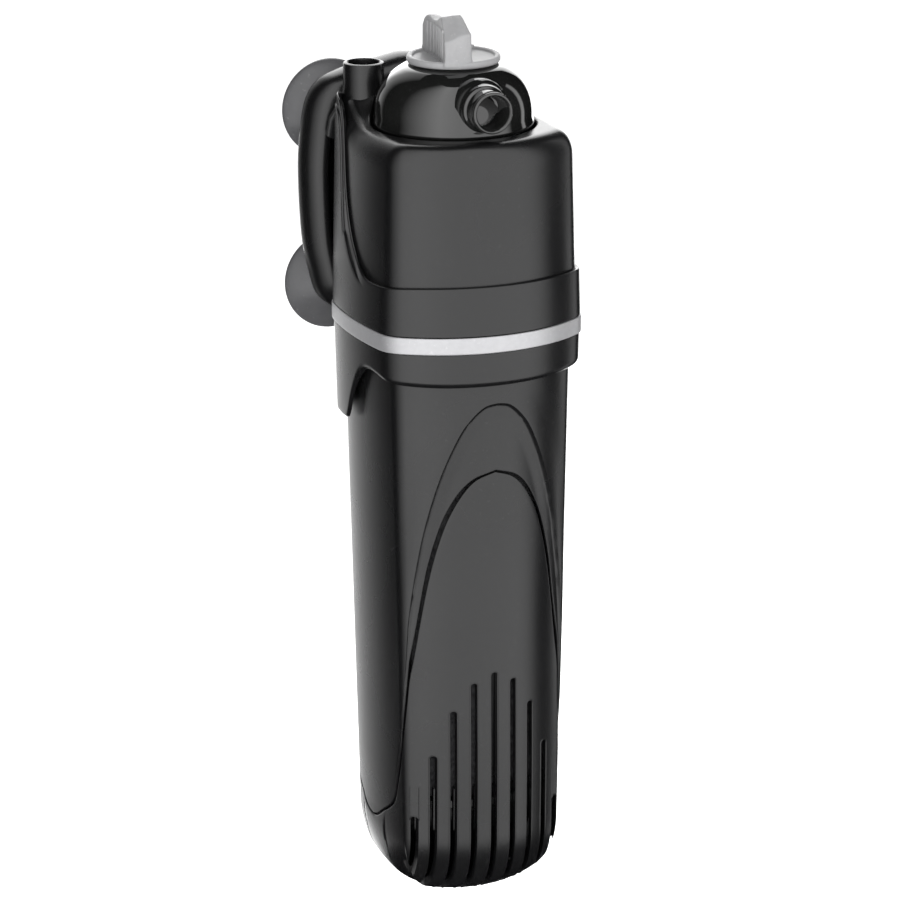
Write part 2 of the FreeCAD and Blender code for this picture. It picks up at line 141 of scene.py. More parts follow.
def addTurned(bm, profile, middle, along, segments=96):
    # profile is (radius, distance along the axis); a first or last radius of zero makes a pole
    side = Vector((1, 0, 0)) if abs(along[0]) < 0.5 else Vector((0, 1, 0))
    axis = Vector(along)
    other = axis.cross(side)
    start = 1 if profile[0][0] < 1e-6 else 0
    end = len(profile) - 1 if profile[-1][0] < 1e-6 else len(profile)
    closed = start == 0 and end == len(profile)
    rings = []
    for i in range(segments):
        turn = 2 * math.pi * i / segments
        out = side * math.cos(turn) + other * math.sin(turn)
        rings.append([Vector(middle) + out * r + axis * h for r, h in profile[start:end]])
    if closed:
        addGrid(bm, rings, ring=True)
        return
    verts = [[bm.verts.new(toRow(p)) for p in column] for column in rings]
    for i, here in enumerate(verts):
        there = verts[(i + 1) % segments]
        for j in range(len(here) - 1):
            bm.faces.new((here[j], here[j + 1], there[j + 1], there[j]))
    for j, h in ((0, profile[0][1]), (len(verts[0]) - 1, profile[-1][1])):
        pole = bm.verts.new(toRow(Vector(middle) + axis * h))
        for i in range(segments):
            bm.faces.new((verts[i][j], verts[(i + 1) % segments][j], pole))


def addBlock(bm, low, high, edge=0.4):
    # a small moulded block with eased edges
    made = bmesh.ops.create_cube(bm, size=1.0)["verts"]
    for v in made:
        p = [low[n] + (v.co[n] + 0.5) * (high[n] - low[n]) for n in range(3)]
        v.co = toRow(p)
    edges = list({e for v in made for e in v.link_edges})
    bmesh.ops.bevel(bm, geom=edges, offset=edge * mm, segments=2, affect="EDGES", profile=0.5)


# ---- shared effects

def addNode(tree, kind, inputs=None, **settings):
    # a node with its settings made and its inputs linked or set
    node = tree.nodes.new(kind)
    for name, value in settings.items():
        setattr(node, name, value)
    for key, value in (inputs or {}).items():
        if isinstance(value, bpy.types.NodeSocket):
            tree.links.new(value, node.inputs[key])
        else:
            node.inputs[key].default_value = value
    return node


def nodeGroup(name, inputs, outputs):
    tree = bpy.data.node_groups.new(name, "ShaderNodeTree")
    for label, kind, value in inputs:
        socket = tree.interface.new_socket(label, in_out="INPUT", socket_type=kind)
        if value is not None:
            socket.default_value = value
    for label in outputs:
        tree.interface.new_socket(label, in_out="OUTPUT", socket_type="NodeSocketFloat")
    return tree, tree.nodes.new("NodeGroupInput").outputs, tree.nodes.new("NodeGroupOutput").inputs


def link(tree, a, b):
    tree.links.new(a, b)


def mathNode(tree, kind, *values):
    return addNode(tree, "ShaderNodeMath", dict(enumerate(values)), operation=kind).outputs[0]


def mixNode(tree, factor, a, b):
    a, b = (value if isinstance(value, bpy.types.NodeSocket) else (*value, 1.0) for value in (a, b))
    return addNode(tree, "ShaderNodeMix", {0: factor, 6: a, 7: b}, data_type="RGBA").outputs[2]


def noiseNode(tree, vector, scale, detail=3.0):
    values = {"Detail": detail, "Vector": vector, "Scale": scale}
    return addNode(tree, "ShaderNodeTexNoise", values).outputs["Fac"]


# moulded grain: the fine spark-eroded skin of a plastic moulding
mouldedGrain, groupIn, groupOut = nodeGroup(
    "mouldedGrain", [("Vector", "NodeSocketVector", None), ("Scale", "NodeSocketFloat", 1500.0)],
    ["Height", "Tone"])
fineNoise = noiseNode(mouldedGrain, groupIn["Vector"], groupIn["Scale"], 2.0)
wideScale = mathNode(mouldedGrain, "MULTIPLY", groupIn["Scale"], 0.3)
wideNoise = noiseNode(mouldedGrain, groupIn["Vector"], wideScale, 2.0)
softNoise = mathNode(mouldedGrain, "MULTIPLY", wideNoise, 0.5)
link(mouldedGrain, mathNode(mouldedGrain, "ADD", fineNoise, softNoise), groupOut["Height"])
link(mouldedGrain, wideNoise, groupOut["Tone"])

# handling: broad patches where a surface has been held and wiped, and fine dust
handling, groupIn, groupOut = nodeGroup(
    "handling", [("Vector", "NodeSocketVector", None), ("Patch", "NodeSocketFloat", 22.0),
                 ("Dust", "NodeSocketFloat", 900.0)], ["Wiped", "Specks"])
handlingLayers = (("Wiped", "Patch", 4.0, 0.35, 0.7), ("Specks", "Dust", 1.0, 0.68, 0.8))
for result, size, detail, low, high in handlingLayers:
    noise = noiseNode(handling, groupIn["Vector"], groupIn[size], detail)
    spread = addNode(handling, "ShaderNodeMapRange", {"From Min": low, "From Max": high, "Value": noise})
    link(handling, spread.outputs["Result"], groupOut[result])

finishes = {
    "blackSatin": {"colour": (0.0035, 0.0035, 0.0038), "tone": (0.0055, 0.0055, 0.0058),
                   "dust": (0.04, 0.04, 0.04),
                   "rough": (0.24, 0.31), "grain": 2200.0, "height": 0.000012, "dustAmount": 0.2},
    "smokedGloss": {"colour": (0.006, 0.0062, 0.006), "tone": (0.010, 0.0102, 0.010),
                    "dust": (0.05, 0.05, 0.05),
                    "rough": (0.035, 0.07), "grain": 700.0, "height": 0.000003, "dustAmount": 0.15,
                    "coat": 0.6, "coatRough": 0.03},
    "silverTrim": {"colour": (0.35, 0.35, 0.36), "tone": (0.41, 0.41, 0.42), "dust": (0.8, 0.8, 0.8),
                   "rough": (0.34, 0.42), "grain": 2600.0, "height": 0.000010, "dustAmount": 0.2,
                   "metal": 0.55},
    "knobGrey": {"colour": (0.25, 0.25, 0.255), "tone": (0.30, 0.30, 0.305), "dust": (0.5, 0.5, 0.5),
                 "rough": (0.42, 0.52), "grain": 1900.0, "height": 0.000020, "dustAmount": 0.2},
    "cupRubber": {"colour": (0.060, 0.060, 0.063), "tone": (0.08, 0.08, 0.084), "dust": (0.2, 0.2, 0.2),
                  "rough": (0.30, 0.42), "grain": 900.0, "height": 0.000014, "dustAmount": 0.3},
    "sealRubber": {"colour": (0.018, 0.018, 0.018), "tone": (0.03, 0.03, 0.03), "dust": (0.08, 0.08, 0.08),
                   "rough": (0.5, 0.62), "grain": 1400.0, "height": 0.00002, "dustAmount": 0.2},
    "whiteInner": {"colour": (0.68, 0.68, 0.66), "tone": (0.76, 0.76, 0.74), "dust": (0.6, 0.58, 0.54),
                   "rough": (0.4, 0.5), "grain": 1200.0, "height": 0.00002, "dustAmount": 0.2},
    "statorIron": {"colour": (0.26, 0.25, 0.25), "tone": (0.33, 0.32, 0.31), "dust": (0.25, 0.15, 0.09),
                   "rough": (0.4, 0.6), "grain": 1800.0, "height": 0.00004, "dustAmount": 0.4, "metal": 1.0},
    "copperWinding": {"colour": (0.62, 0.27, 0.12), "tone": (0.74, 0.36, 0.18), "dust": (0.4, 0.2, 0.1),
                      "rough": (0.25, 0.4), "grain": 3000.0, "height": 0.00005, "dustAmount": 0.1,
                      "metal": 1.0},
    "ceramicShaft": {"colour": (0.74, 0.73, 0.70), "tone": (0.8, 0.79, 0.77), "dust": (0.6, 0.6, 0.58),
                     "rough": (0.15, 0.22), "grain": 1500.0, "height": 0.000005, "dustAmount": 0.1},
    "ferrite": {"colour": (0.045, 0.043, 0.042), "tone": (0.07, 0.066, 0.064), "dust": (0.12, 0.11, 0.1),
                "rough": (0.45, 0.6), "grain": 2000.0, "height": 0.00003, "dustAmount": 0.3, "metal": 0.2},
}


def makeFinish(name, values):
    material = bpy.data.materials.new(name)
    material.use_nodes = True
    tree = material.node_tree
    shader = tree.nodes["Principled BSDF"].inputs
    place = tree.nodes.new("ShaderNodeTexCoord").outputs["Object"]
    grain = addNode(tree, "ShaderNodeGroup", node_tree=mouldedGrain)
    grain.inputs["Scale"].default_value = values["grain"]
    link(tree, place, grain.inputs["Vector"])
    wear = addNode(tree, "ShaderNodeGroup", {"Vector": place}, node_tree=handling)
    colour = mixNode(tree, grain.outputs["Tone"], values["colour"], values["tone"])
    specks = mathNode(tree, "MULTIPLY", wear.outputs["Specks"], values["dustAmount"])
    link(tree, mixNode(tree, specks, colour, values["dust"]), shader["Base Color"])
    low, high = values["rough"]
    wiped = mathNode(tree, "MULTIPLY", wear.outputs["Wiped"], high - low)
    link(tree, mathNode(tree, "ADD", wiped, low), shader["Roughness"])
    bump = addNode(tree, "ShaderNodeBump", {"Distance": values["height"], "Strength": 1.0,
                                            "Height": grain.outputs["Height"]})
    link(tree, bump.outputs["Normal"], shader["Normal"])
    shader["Metallic"].default_value = values.get("metal", 0.0)
    shader["Coat Weight"].default_value = values.get("coat", 0.0)
    shader["Coat Roughness"].default_value = values.get("coatRough", 0.03)
    return material


materials = {name: makeFinish(name, values) for name, values in finishes.items()}
print("finishes made:", len(materials))


def dress(piece, finish, slot, body, *replaced):
    piece.data.materials.clear()
    piece.data.materials.append(materials[finish])
    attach(piece, body)
    if replaced:
        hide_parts(*replaced)
    return piece


# ---- the body's outline

bodyOutline = {"halfWidth": 29.3, "front": 32.9, "back": 27.3, "bow": 42.0, "frontCorner": 9.7,
    "rearCorner": 12.0, "cornerAngle": 52.64, "sideBow": 120.0, "sideFront": 7.6}


def measureOutline():
    # centres, radii and turns of the arcs that make half of the plan, front to back
    b = bodyOutline
    bowY, cornerX = b["bow"] - b["front"], b["halfWidth"] - b["frontCorner"]
    cornerTurn, sideFront = math.radians(b["cornerAngle"]), math.radians(b["sideFront"])
    cornerY = bowY - (b["bow"] - b["frontCorner"]) * math.sin(cornerTurn)
    sideX = cornerX + (b["frontCorner"] - b["sideBow"]) * math.cos(sideFront)
    sideY = cornerY + (b["sideBow"] - b["frontCorner"]) * math.sin(sideFront)
    rearY = b["back"] - b["rearCorner"]
    sideRear = math.asin((rearY - sideY) / (b["sideBow"] - b["rearCorner"]))
    rearX = sideX + (b["sideBow"] - b["rearCorner"]) * math.cos(sideRear)
    return [(0.0, bowY, b["bow"], -math.pi / 2, -cornerTurn),
            (cornerX, cornerY, b["frontCorner"], -cornerTurn, -sideFront),
            (sideX, sideY, b["sideBow"], -sideFront, sideRear),
            (rearX, rearY, b["rearCorner"], sideRear, math.pi / 2)]


outlineArcs = measureOutline()
halfRound = sum(radius * (last - first) for _, _, radius, first, last in outlineArcs) + outlineArcs[-1][0]


def outline(s, inset):
    # a point on the body's plan, s millimetres round from the middle of the front
    side, s = (1 if s >= 0 else -1), min(abs(s), halfRound)
    for x, y, radius, first, last in outlineArcs:
        if s <= radius * (last - first):
            turn = first + s / radius
            return side * (x + (radius - inset) * math.cos(turn)), y + (radius - inset) * math.sin(turn)
        s -= radius * (last - first)
    return side * (outlineArcs[-1][0] - s), bodyOutline["back"] - inset


def aroundBody(fine=0.6, coarse=1.2, fineTo=42.0):
    # positions round the whole body, closer together on the front
    half = []
    s = 0.0
    while s < halfRound - 0.3:
        half.append(s)
        s += fine if s < fineTo else coarse
    return [-s for s in reversed(half[1:])] + half + [halfRound]


def headInset(z):
    return 1.2 * (z - 168.5) / 51.3


def bandColumns(round_, low, high, outer, wall, lowRoll, highRoll, rows=None, count=30):
    # a wall between two edges: out over the outer face, round the top edge, back down the inner face
    columns = []
    turns = [math.pi / 2 * k / 5 for k in range(6)]
    for s in round_:
        zLow, zHigh = low(s), high(s)
        slopeLow = (low(s + 0.3) - low(s - 0.3)) / 0.6
        slopeHigh = (high(s + 0.3) - high(s - 0.3)) / 0.6
        lowStretch = min(math.hypot(1, slopeLow), 5.0)
        highStretch = min(math.hypot(1, slopeHigh), 5.0)
        thick = wall(s) if callable(wall) else wall
        rollLow, rollHigh = min(lowRoll, thick * 0.9), min(highRoll, thick * 0.9)
        start = zLow + rollLow * lowStretch
        end = zHigh - rollHigh * highStretch
        middle = rows(s, start, end) if rows else [start + (end - start) * k / count for k in range(1, count)]
        column = []
        for a in turns:
            column.append((s, zLow + rollLow * (1 - math.cos(a)) * lowStretch, rollLow * (1 - math.sin(a)),
                           False))
        column += [(s, z, 0.0, False) for z in middle]
        for a in reversed(turns):
            column.append((s, zHigh - rollHigh * (1 - math.cos(a)) * highStretch,
                           rollHigh * (1 - math.sin(a)), False))
        backHigh, backLow = thick - rollHigh, thick - rollLow
        for a in turns[1:]:
            column.append((s, zHigh - backHigh * (1 - math.cos(a)) * highStretch,
                           thick - backHigh * (1 - math.sin(a)), True))
        column += [(s, z, thick, True) for z in reversed(middle)]
        for a in reversed(turns[1:]):
            column.append((s, zLow + backLow * (1 - math.cos(a)) * lowStretch,
                           thick - backLow * (1 - math.sin(a)), True))
        columns.append([outer(*item) for item in column])
    return columns


# ---- container and intake cover

container = {"inset": 3.3, "draft": 0.022, "draftHeight": 150.0, "rim": 162.5, "wall": 1.8, "bowlTop": 26.0,
    "bowlRise": 23.4, "bowlMiddle": -2.8, "fullness": 2.7, "sideFullness": 3.6, "gap": 1.05,
    "reliefDepth": 1.15, "ribHalf": 4.0}
# the arched edge of the cover's tongue and the wavy seam round the sides, as (round, height)
seamPoints = [(0, 129.3), (6, 127.4), (10.6, 123.3), (15, 116.5), (18.2, 108.8), (20.8, 100.3), (22.9, 91.5),
              (26.2, 76.0), (29.9, 61.5), (34.4, 47.5), (37.6, 37.0), (39.6, 32.3), (43, 29.4), (47.6, 26.8),
              (53, 23.6), (57.7, 22.9), (63, 24.3), (67, 27.2), (74, 31.0), (88, 33.0), (105, 33.2)]
seamLine = splinePoints(seamPoints)
# the outer arch pressed into the container above the tongue
archPoints = [(0, 149.0), (4, 148.2), (8, 145.0), (11.8, 140.0), (17.1, 129.0), (21.8, 115.0), (25.0, 101.0),
              (27.4, 87.0), (29.0, 75.0), (31.6, 63.5), (36.0, 49.5), (39.4, 38.0), (42.0, 33.5), (46, 29.8),
              (50, 27.4), (60, 26.8), (75, 34.5), (105, 36.0)]
archLine = splinePoints(archPoints)
archFront = [p for p in archLine if p[1] > 40]


def seamHeight(s):
    return readCurve(seamLine, abs(s))


def archHeight(s):
    return max(readCurve(archLine, abs(s)), seamHeight(s) + 2.0)


def draftInset(z):
    return container["inset"] + container["draft"] * (container["draftHeight"] - max(z, container["bowlTop"]))


def fullness(s):
    extra = container["sideFullness"] - container["fullness"]
    return container["fullness"] + extra * ease(abs(s), 28.0, 50.0)


def containerSkin(s, z, depth):
    x, y = outline(s, draftInset(z) + depth)
    if z >= container["bowlTop"]:
        return x, y, z
    power = fullness(s)
    fall = clamp((container["bowlTop"] - z) / container["bowlRise"])
    share, middle = max(1 - fall ** power, 0.0) ** (1 / power), container["bowlMiddle"]
    lift = fall ** (power - 1)
    return x * share, middle + (y - middle) * share, z + depth * lift / math.hypot(lift, share ** (power - 1))


def archDistance(s, z):
    # how far a point lies inside (plus) or outside (minus) the outer arch
    s = abs(s)
    near = min(math.hypot(s - p[0], z - p[1]) for p in archFront)
    return near if z < readCurve(archLine, s) else -near


def reliefDepth(s, z):
    if abs(s) > 46 or z > 158:
        return 0.0
    d = archDistance(s, z)
    flank = ease(abs(s), 2.0, 16.0)
    fade = ease(z, 52.0, 96.0)
    deep = container["reliefDepth"] * (0.45 + 0.55 * flank) * fade
    if d >= 0:
        step = ease(d, 0.0, 0.8) * 0.55 + ease(d, 0.2, 5.0) * 0.45
        return deep * step - 0.32 * (1 - ease(d, 0.0, 0.5)) * fade
    return -0.32 * math.exp(-(d / 5.0) ** 2) * (fade * 0.8 + 0.2 * ease(z, 36.0, 60.0))


def containerRows(s, start, end):
    arch = min(archHeight(s), end - 3.0)
    slope = (archHeight(s + 0.3) - archHeight(s - 0.3)) / 0.6
    stretch = min(math.hypot(1, slope), 4.0)
    steps = [-3.4, -2.4, -1.6, -1.0, -0.6, -0.3, 0.0, 0.35, 0.8, 1.5, 2.6, 4.4]
    lowShare = min(1.0, (arch - start) * 0.8 / (3.4 * stretch)) if arch > start else 0.0
    highShare = min(1.0, (end - arch) * 0.5 / (4.4 * stretch))
    near = [arch + k * stretch * (lowShare if k < 0 else highShare) for k in steps]
    first, last = near[0], near[-1]
    below = [start + (first - start) * k / 22 for k in range(1, 22)]
    above = [last + (end - last) * k / 30 for k in range(1, 30)]
    return below + near + above


def tongueDepth(z):
    return 0.85 * ease(z, 34.0, 84.0)


frontRound = aroundBody(0.55, 1.2, 44.0)


def containerPoint(s, z, depth, inner):
    return containerSkin(s, z, depth + (0.0 if inner else reliefDepth(s, z)))


def seamGap(s):
    slope = (seamHeight(s + 0.3) - seamHeight(s - 0.3)) / 0.6
    return seamHeight(s) + container["gap"] * (0.4 + 0.6 * ease(abs(s), 2, 14) * ease(abs(s), 46, 36)) * min(
        math.hypot(1, slope), 4.2)


bm = bmesh.new()
addGrid(bm, bandColumns(frontRound, seamGap, lambda s: container["rim"], containerPoint,
                        container["wall"] + 0.6, 0.35, 0.5, containerRows))
ribColumns = []
for x, extra in ((-1, 0.0), (-1, 1.2), (1, 1.2), (1, 0.0)):
    ribColumns.append([])
    for k in range(25):
        z = 38.5 + (134.0 - 38.5) * k / 24
        px, py = outline(x * container["ribHalf"], draftInset(z) + 2.7 + extra)
        ribColumns[-1].append((px, py, z))
addGrid(bm, ribColumns, ring=False)
containerShell = smoothObject("containerShell", bm)
dress(containerShell, "blackSatin", "black_satin_plastic", "container", "container_shell")
print("container shell made")

# intake cover: tongue and bowl in one moulding
coverShape = {"wall": 1.8, "roll": 0.4, "upperRows": 44, "lowerRows": 30, "bottomTurn": 1.56}


def coverPoint(s, z, depth, inner):
    crease = 0.0 if inner else 0.8 * ease(abs(s), 32.0, 34.5) * ease(container["bowlTop"] - z, 2.0, 14.0)
    return containerSkin(s, z, depth + tongueDepth(z) + crease)


def coverColumn(s):
    top = seamHeight(s)
    slope = (seamHeight(s + 0.3) - seamHeight(s - 0.3)) / 0.6
    stretch = min(math.hypot(1, slope), 4.2)
    roll, thick = coverShape["roll"], coverShape["wall"]
    back = thick - roll
    bowlTop, rise = container["bowlTop"], container["bowlRise"]
    begin = top - roll * stretch
    straight = max(begin - bowlTop, 0.0)
    power = fullness(s)
    turnStart = math.asin(clamp((bowlTop - min(begin, bowlTop)) / rise) ** (power / 2))
    upper, lower = coverShape["upperRows"], coverShape["lowerRows"]
    heights = [begin - straight * k / upper for k in range(upper)] if straight > 0 else []
    for k in range(lower + (0 if straight > 0 else upper) + 1):
        turnSteps = lower + (0 if straight > 0 else upper)
        turn = turnStart + (coverShape["bottomTurn"] - turnStart) * k / turnSteps
        heights.append(bowlTop - rise * math.sin(turn) ** (2 / power))
    turns = [math.pi / 2 * k / 5 for k in range(6)]
    column = [coverPoint(s, z, 0.0, False) for z in reversed(heights)]
    column += [coverPoint(s, top - roll * (1 - math.cos(a)) * stretch, roll * (1 - math.sin(a)), False)
               for a in reversed(turns[:-1])]
    column += [coverPoint(s, top - back * (1 - math.cos(a)) * stretch, thick - back * (1 - math.sin(a)), True)
               for a in turns[1:]]
    column += [coverPoint(s, min(z, top - back * stretch), thick, True) for z in heights[1:]]
    return column


bm = bmesh.new()
addGrid(bm, [coverColumn(s) for s in frontRound], ring=False)
# the lip that stands up inside the container's foot
addGrid(bm, bandColumns(frontRound, lambda s: 25.0, lambda s: 37.5,
                        lambda s, z, depth, inner: containerSkin(s, max(z, 26.0), 2.5 + depth)[:2] + (z,),
                        1.2, 0.2, 0.3, count=6))
intakeCover = smoothObject("intakeCover", bm)


# slots: a row of round-topped cutters
def geometryTree(name, inputs):
    tree = bpy.data.node_groups.new(name, "GeometryNodeTree")
    ids = {}
    for label, kind, value in inputs:
        socket = tree.interface.new_socket(label, in_out="INPUT", socket_type="NodeSocket" + kind)
        if value is not None:
            socket.default_value = value
        ids[label] = socket.identifier
    tree.interface.new_socket("Geometry", in_out="OUTPUT", socket_type="NodeSocketGeometry")
    return tree, tree.nodes.new("NodeGroupInput").outputs, ids


def joinXyz(tree, x=0.0, y=0.0, z=0.0):
    return addNode(tree, "ShaderNodeCombineXYZ", {0: x, 1: y, 2: z}).outputs[0]


def readPosition(tree):
    position = tree.nodes.new("GeometryNodeInputPosition").outputs[0]
    return addNode(tree, "ShaderNodeSeparateXYZ", {0: position}).outputs


def countFromMiddle(tree, count):
    # the number of each point of a row, with zero in the middle
    index = tree.nodes.new("GeometryNodeInputIndex").outputs[0]
    return mathNode(tree, "SUBTRACT", index,
                    mathNode(tree, "MULTIPLY", mathNode(tree, "SUBTRACT", count, 1.0), 0.5))


def closeTree(tree, geometry, finish):
    real = addNode(tree, "GeometryNodeRealizeInstances", {"Geometry": geometry})
    coated = addNode(tree, "GeometryNodeSetMaterial", {"Geometry": real.outputs[0], "Material": finish})
    addNode(tree, "NodeGroupOutput", {"Geometry": coated.outputs[0]})


def runTree(name, tree, ids, values, carrier=None):
    # evaluates a tree on a carrier and keeps the result as a plain mesh
    holder = bpy.data.objects.new(name, carrier or bpy.data.meshes.new(name))
    bpy.context.scene.collection.objects.link(holder)
    modifier = holder.modifiers.new("shape", "NODES")
    modifier.node_group = tree
    for label, value in values.items():
        modifier[ids[label]] = value
    bpy.context.view_layer.update()
    evaluated = holder.evaluated_get(bpy.context.evaluated_depsgraph_get())
    mesh = bpy.data.meshes.new_from_object(evaluated)
    holder.modifiers.remove(modifier)
    if holder.type == "MESH":
        holder.data = mesh
        return holder
    bpy.data.objects.remove(holder)
    piece = bpy.data.objects.new(name, mesh)
    bpy.context.scene.collection.objects.link(piece)
    return piece


slotRow = {"count": 9, "width": 1.9, "spacing": 5.8, "closing": 0.034, "tallest": 71.5, "drop": 2.6,
    "front": -40.0, "back": -14.0, "bottom": -2.0}
slotTree, slotIn, slotIds = geometryTree("slotRow", [
    ("Count", "Int", 9), ("Width", "Float", 0.002), ("Spacing", "Float", 0.006),
    ("Closing", "Float", 0.00003),
    ("Tallest", "Float", 0.07), ("Drop", "Float", 0.0026), ("Depth", "Float", 0.034),
    ("Middle", "Vector", (0, 0, 0)), ("Bottom", "Float", -0.002), ("Finish", "Material", None)])
slotLine = addNode(slotTree, "GeometryNodeMeshLine", {"Count": slotIn["Count"]})
slotPlace = countFromMiddle(slotTree, slotIn["Count"])
slotSquared = mathNode(slotTree, "MULTIPLY", slotPlace, slotPlace)
slotCubed = mathNode(slotTree, "MULTIPLY", slotPlace, slotSquared)
slotHalfWidth = mathNode(slotTree, "MULTIPLY", slotIn["Width"], 0.5)
placeX = mathNode(slotTree, "SUBTRACT", mathNode(slotTree, "MULTIPLY", slotPlace, slotIn["Spacing"]),
                  mathNode(slotTree, "MULTIPLY", slotCubed, slotIn["Closing"]))
fall = mathNode(slotTree, "MULTIPLY", slotSquared, slotIn["Drop"])
placeZ = mathNode(slotTree, "SUBTRACT", mathNode(slotTree, "SUBTRACT", slotIn["Tallest"], fall),
                  slotHalfWidth)
slotSpot = addNode(slotTree, "ShaderNodeVectorMath",
                   {0: joinXyz(slotTree, placeX, 0.0, placeZ), 1: slotIn["Middle"]}, operation="ADD")
slotSet = addNode(slotTree, "GeometryNodeSetPosition",
                  {"Geometry": slotLine.outputs["Mesh"], "Position": slotSpot.outputs["Vector"]})
slotBar = addNode(slotTree, "GeometryNodeMeshCylinder",
                  {"Vertices": 20, "Radius": slotHalfWidth, "Depth": slotIn["Depth"]})
slotTurn = addNode(slotTree, "GeometryNodeTransform",
                   {"Geometry": slotBar.outputs["Mesh"], "Rotation": (math.pi / 2, 0, 0)})
isLower = mathNode(slotTree, "LESS_THAN", readPosition(slotTree)[2], -0.00002)
lowerHalf = addNode(slotTree, "GeometryNodeStoreNamedAttribute", data_type="BOOLEAN", domain="POINT")
lowerHalf.inputs["Name"].default_value = "lower"
slotTree.links.new(slotTurn.outputs["Geometry"], lowerHalf.inputs["Geometry"])
slotTree.links.new(isLower, lowerHalf.inputs["Value"])
slotSpread = addNode(slotTree, "GeometryNodeInstanceOnPoints",
                     {"Points": slotSet.outputs["Geometry"], "Instance": lowerHalf.outputs["Geometry"]})
slotReal = addNode(slotTree, "GeometryNodeRealizeInstances", {"Geometry": slotSpread.outputs["Instances"]})
lowerRead = addNode(slotTree, "GeometryNodeInputNamedAttribute", data_type="BOOLEAN")
lowerRead.inputs["Name"].default_value = "lower"
here = readPosition(slotTree)
slotPull = addNode(slotTree, "GeometryNodeSetPosition", {
    "Geometry": slotReal.outputs["Geometry"], "Selection": lowerRead.outputs["Attribute"],
    "Position": joinXyz(slotTree, here[0], here[1], slotIn["Bottom"])})
closeTree(slotTree, slotPull.outputs["Geometry"], slotIn["Finish"])
slotCutters = runTree("slotCutters", slotTree, slotIds, {
    "Count": slotRow["count"], "Width": slotRow["width"] * mm, "Spacing": slotRow["spacing"] * mm,
    "Closing": slotRow["closing"] * mm,
    "Tallest": slotRow["tallest"] * mm, "Drop": slotRow["drop"] * mm,
    "Depth": (slotRow["back"] - slotRow["front"]) * mm,
    "Middle": tuple(toRow((0, (slotRow["back"] + slotRow["front"]) / 2, 0))),
    "Bottom": toRow((0, 0, slotRow["bottom"])).z, "Finish": materials["blackSatin"]})


def cutWith(piece, cutter):
    modifier = piece.modifiers.new("cut", "BOOLEAN")
    modifier.operation = "DIFFERENCE"
    modifier.solver = "EXACT"
    modifier.object = cutter
    bpy.context.view_layer.update()
    evaluated = piece.evaluated_get(bpy.context.evaluated_depsgraph_get())
    mesh = bpy.data.meshes.new_from_object(evaluated)
    piece.modifiers.remove(modifier)
    piece.data = mesh
    mesh.name = piece.name
    for face in mesh.polygons:
        face.use_smooth = True
    mesh.set_sharp_from_angle(angle=math.radians(sharpAngle))
    bpy.data.objects.remove(cutter)


cutWith(intakeCover, slotCutters)


def coverDepth(x, z):
    # the cover's outer face straight behind a front-view point
    low, high = 0.0, 45.0
    for _ in range(24):
        s = (low + high) / 2
        if coverPoint(s, z, 0.0, False)[0] < abs(x):
            low = s
        else:
            high = s
    return coverPoint(low, z, 0.0, False)


beads = {"radius": 0.24, "sink": 0.10, "foot": 4.2, "reach": 0.12}
beadTree, beadIn, beadIds = geometryTree("slotBeads", [
    ("Geometry", "Geometry", None), ("Radius", "Float", 0.0002), ("Finish", "Material", None)])
beadCurve = addNode(beadTree, "GeometryNodeMeshToCurve", {"Mesh": beadIn["Geometry"]})
beadRound = addNode(beadTree, "GeometryNodeCurvePrimitiveCircle",
                    {"Resolution": 8, "Radius": beadIn["Radius"]})
beadSweep = addNode(beadTree, "GeometryNodeCurveToMesh", {
    "Curve": beadCurve.outputs["Curve"], "Profile Curve": beadRound.outputs["Curve"], "Fill Caps": True})
closeTree(beadTree, beadSweep.outputs["Mesh"], beadIn["Finish"])
bm = bmesh.new()
slotHalf = (slotRow["count"] - 1) // 2
for n in range(-slotHalf, slotHalf + 1):
    middleX = slotRow["spacing"] * n - slotRow["closing"] * n ** 3
    radius = slotRow["width"] / 2 + beads["reach"]
    crown = slotRow["tallest"] - slotRow["drop"] * n * n - slotRow["width"] / 2
    foot = beads["foot"]
    while coverPoint(40.0, foot, 0.0, False)[0] < abs(middleX) + 3.0:
        foot += 0.4
    climb = [foot + (crown - foot) * k / 30 for k in range(31)]
    path = [(middleX - radius, z) for z in climb]
    path += [(middleX - radius * math.cos(math.pi * k / 12), crown + radius * math.sin(math.pi * k / 12))
             for k in range(1, 12)]
    path += [(middleX + radius, z) for z in reversed(climb)]
    last = None
    for x, z in path:
        here = coverDepth(x, z)
        vert = bm.verts.new(toRow((x, here[1] + beads["sink"], z)))
        if last:
            bm.edges.new((last, vert))
        last = vert
beadPaths = bpy.data.meshes.new("slotBeadPaths")
bm.to_mesh(beadPaths)
bm.free()
slotBeads = runTree("slotBeads", beadTree, beadIds,
                    {"Radius": beads["radius"] * mm, "Finish": materials["blackSatin"]}, beadPaths)
for face in slotBeads.data.polygons:
    face.use_smooth = True
dress(slotBeads, "blackSatin", "black_satin_plastic", "intake_cover")
dress(intakeCover, "blackSatin", "black_satin_plastic", "intake_cover", "intake_cover")
print("intake cover made:", len(intakeCover.data.polygons), "faces")

# ---- pump head

head = {"ringLow": 163.9, "ringHigh": 168.5, "wall": 1.6, "top": 219.8, "recess": 22.3, "deck": 212.0,
    "boss": 18.8, "bossBore": 17.4, "bossTop": 218.5, "shelf": 209.8}
headRound = aroundBody(0.9, 0.9, 60.0)

cheekLine = splinePoints([(0, 182.0), (20, 181.9), (36, 181.4), (42.9, 181.5), (47.0, 182.9), (50.6, 185.4),
                          (54.2, 189.2), (57.6, 194.6), (60.2, 201.0), (61.8, 208.0), (62.9, 215.0),
                          (64.2, 220.6), (66.4, 224.2), (70, 226.0), (76, 226.4), (82, 224.6), (90, 222.8),
                          (105, 222.6)])


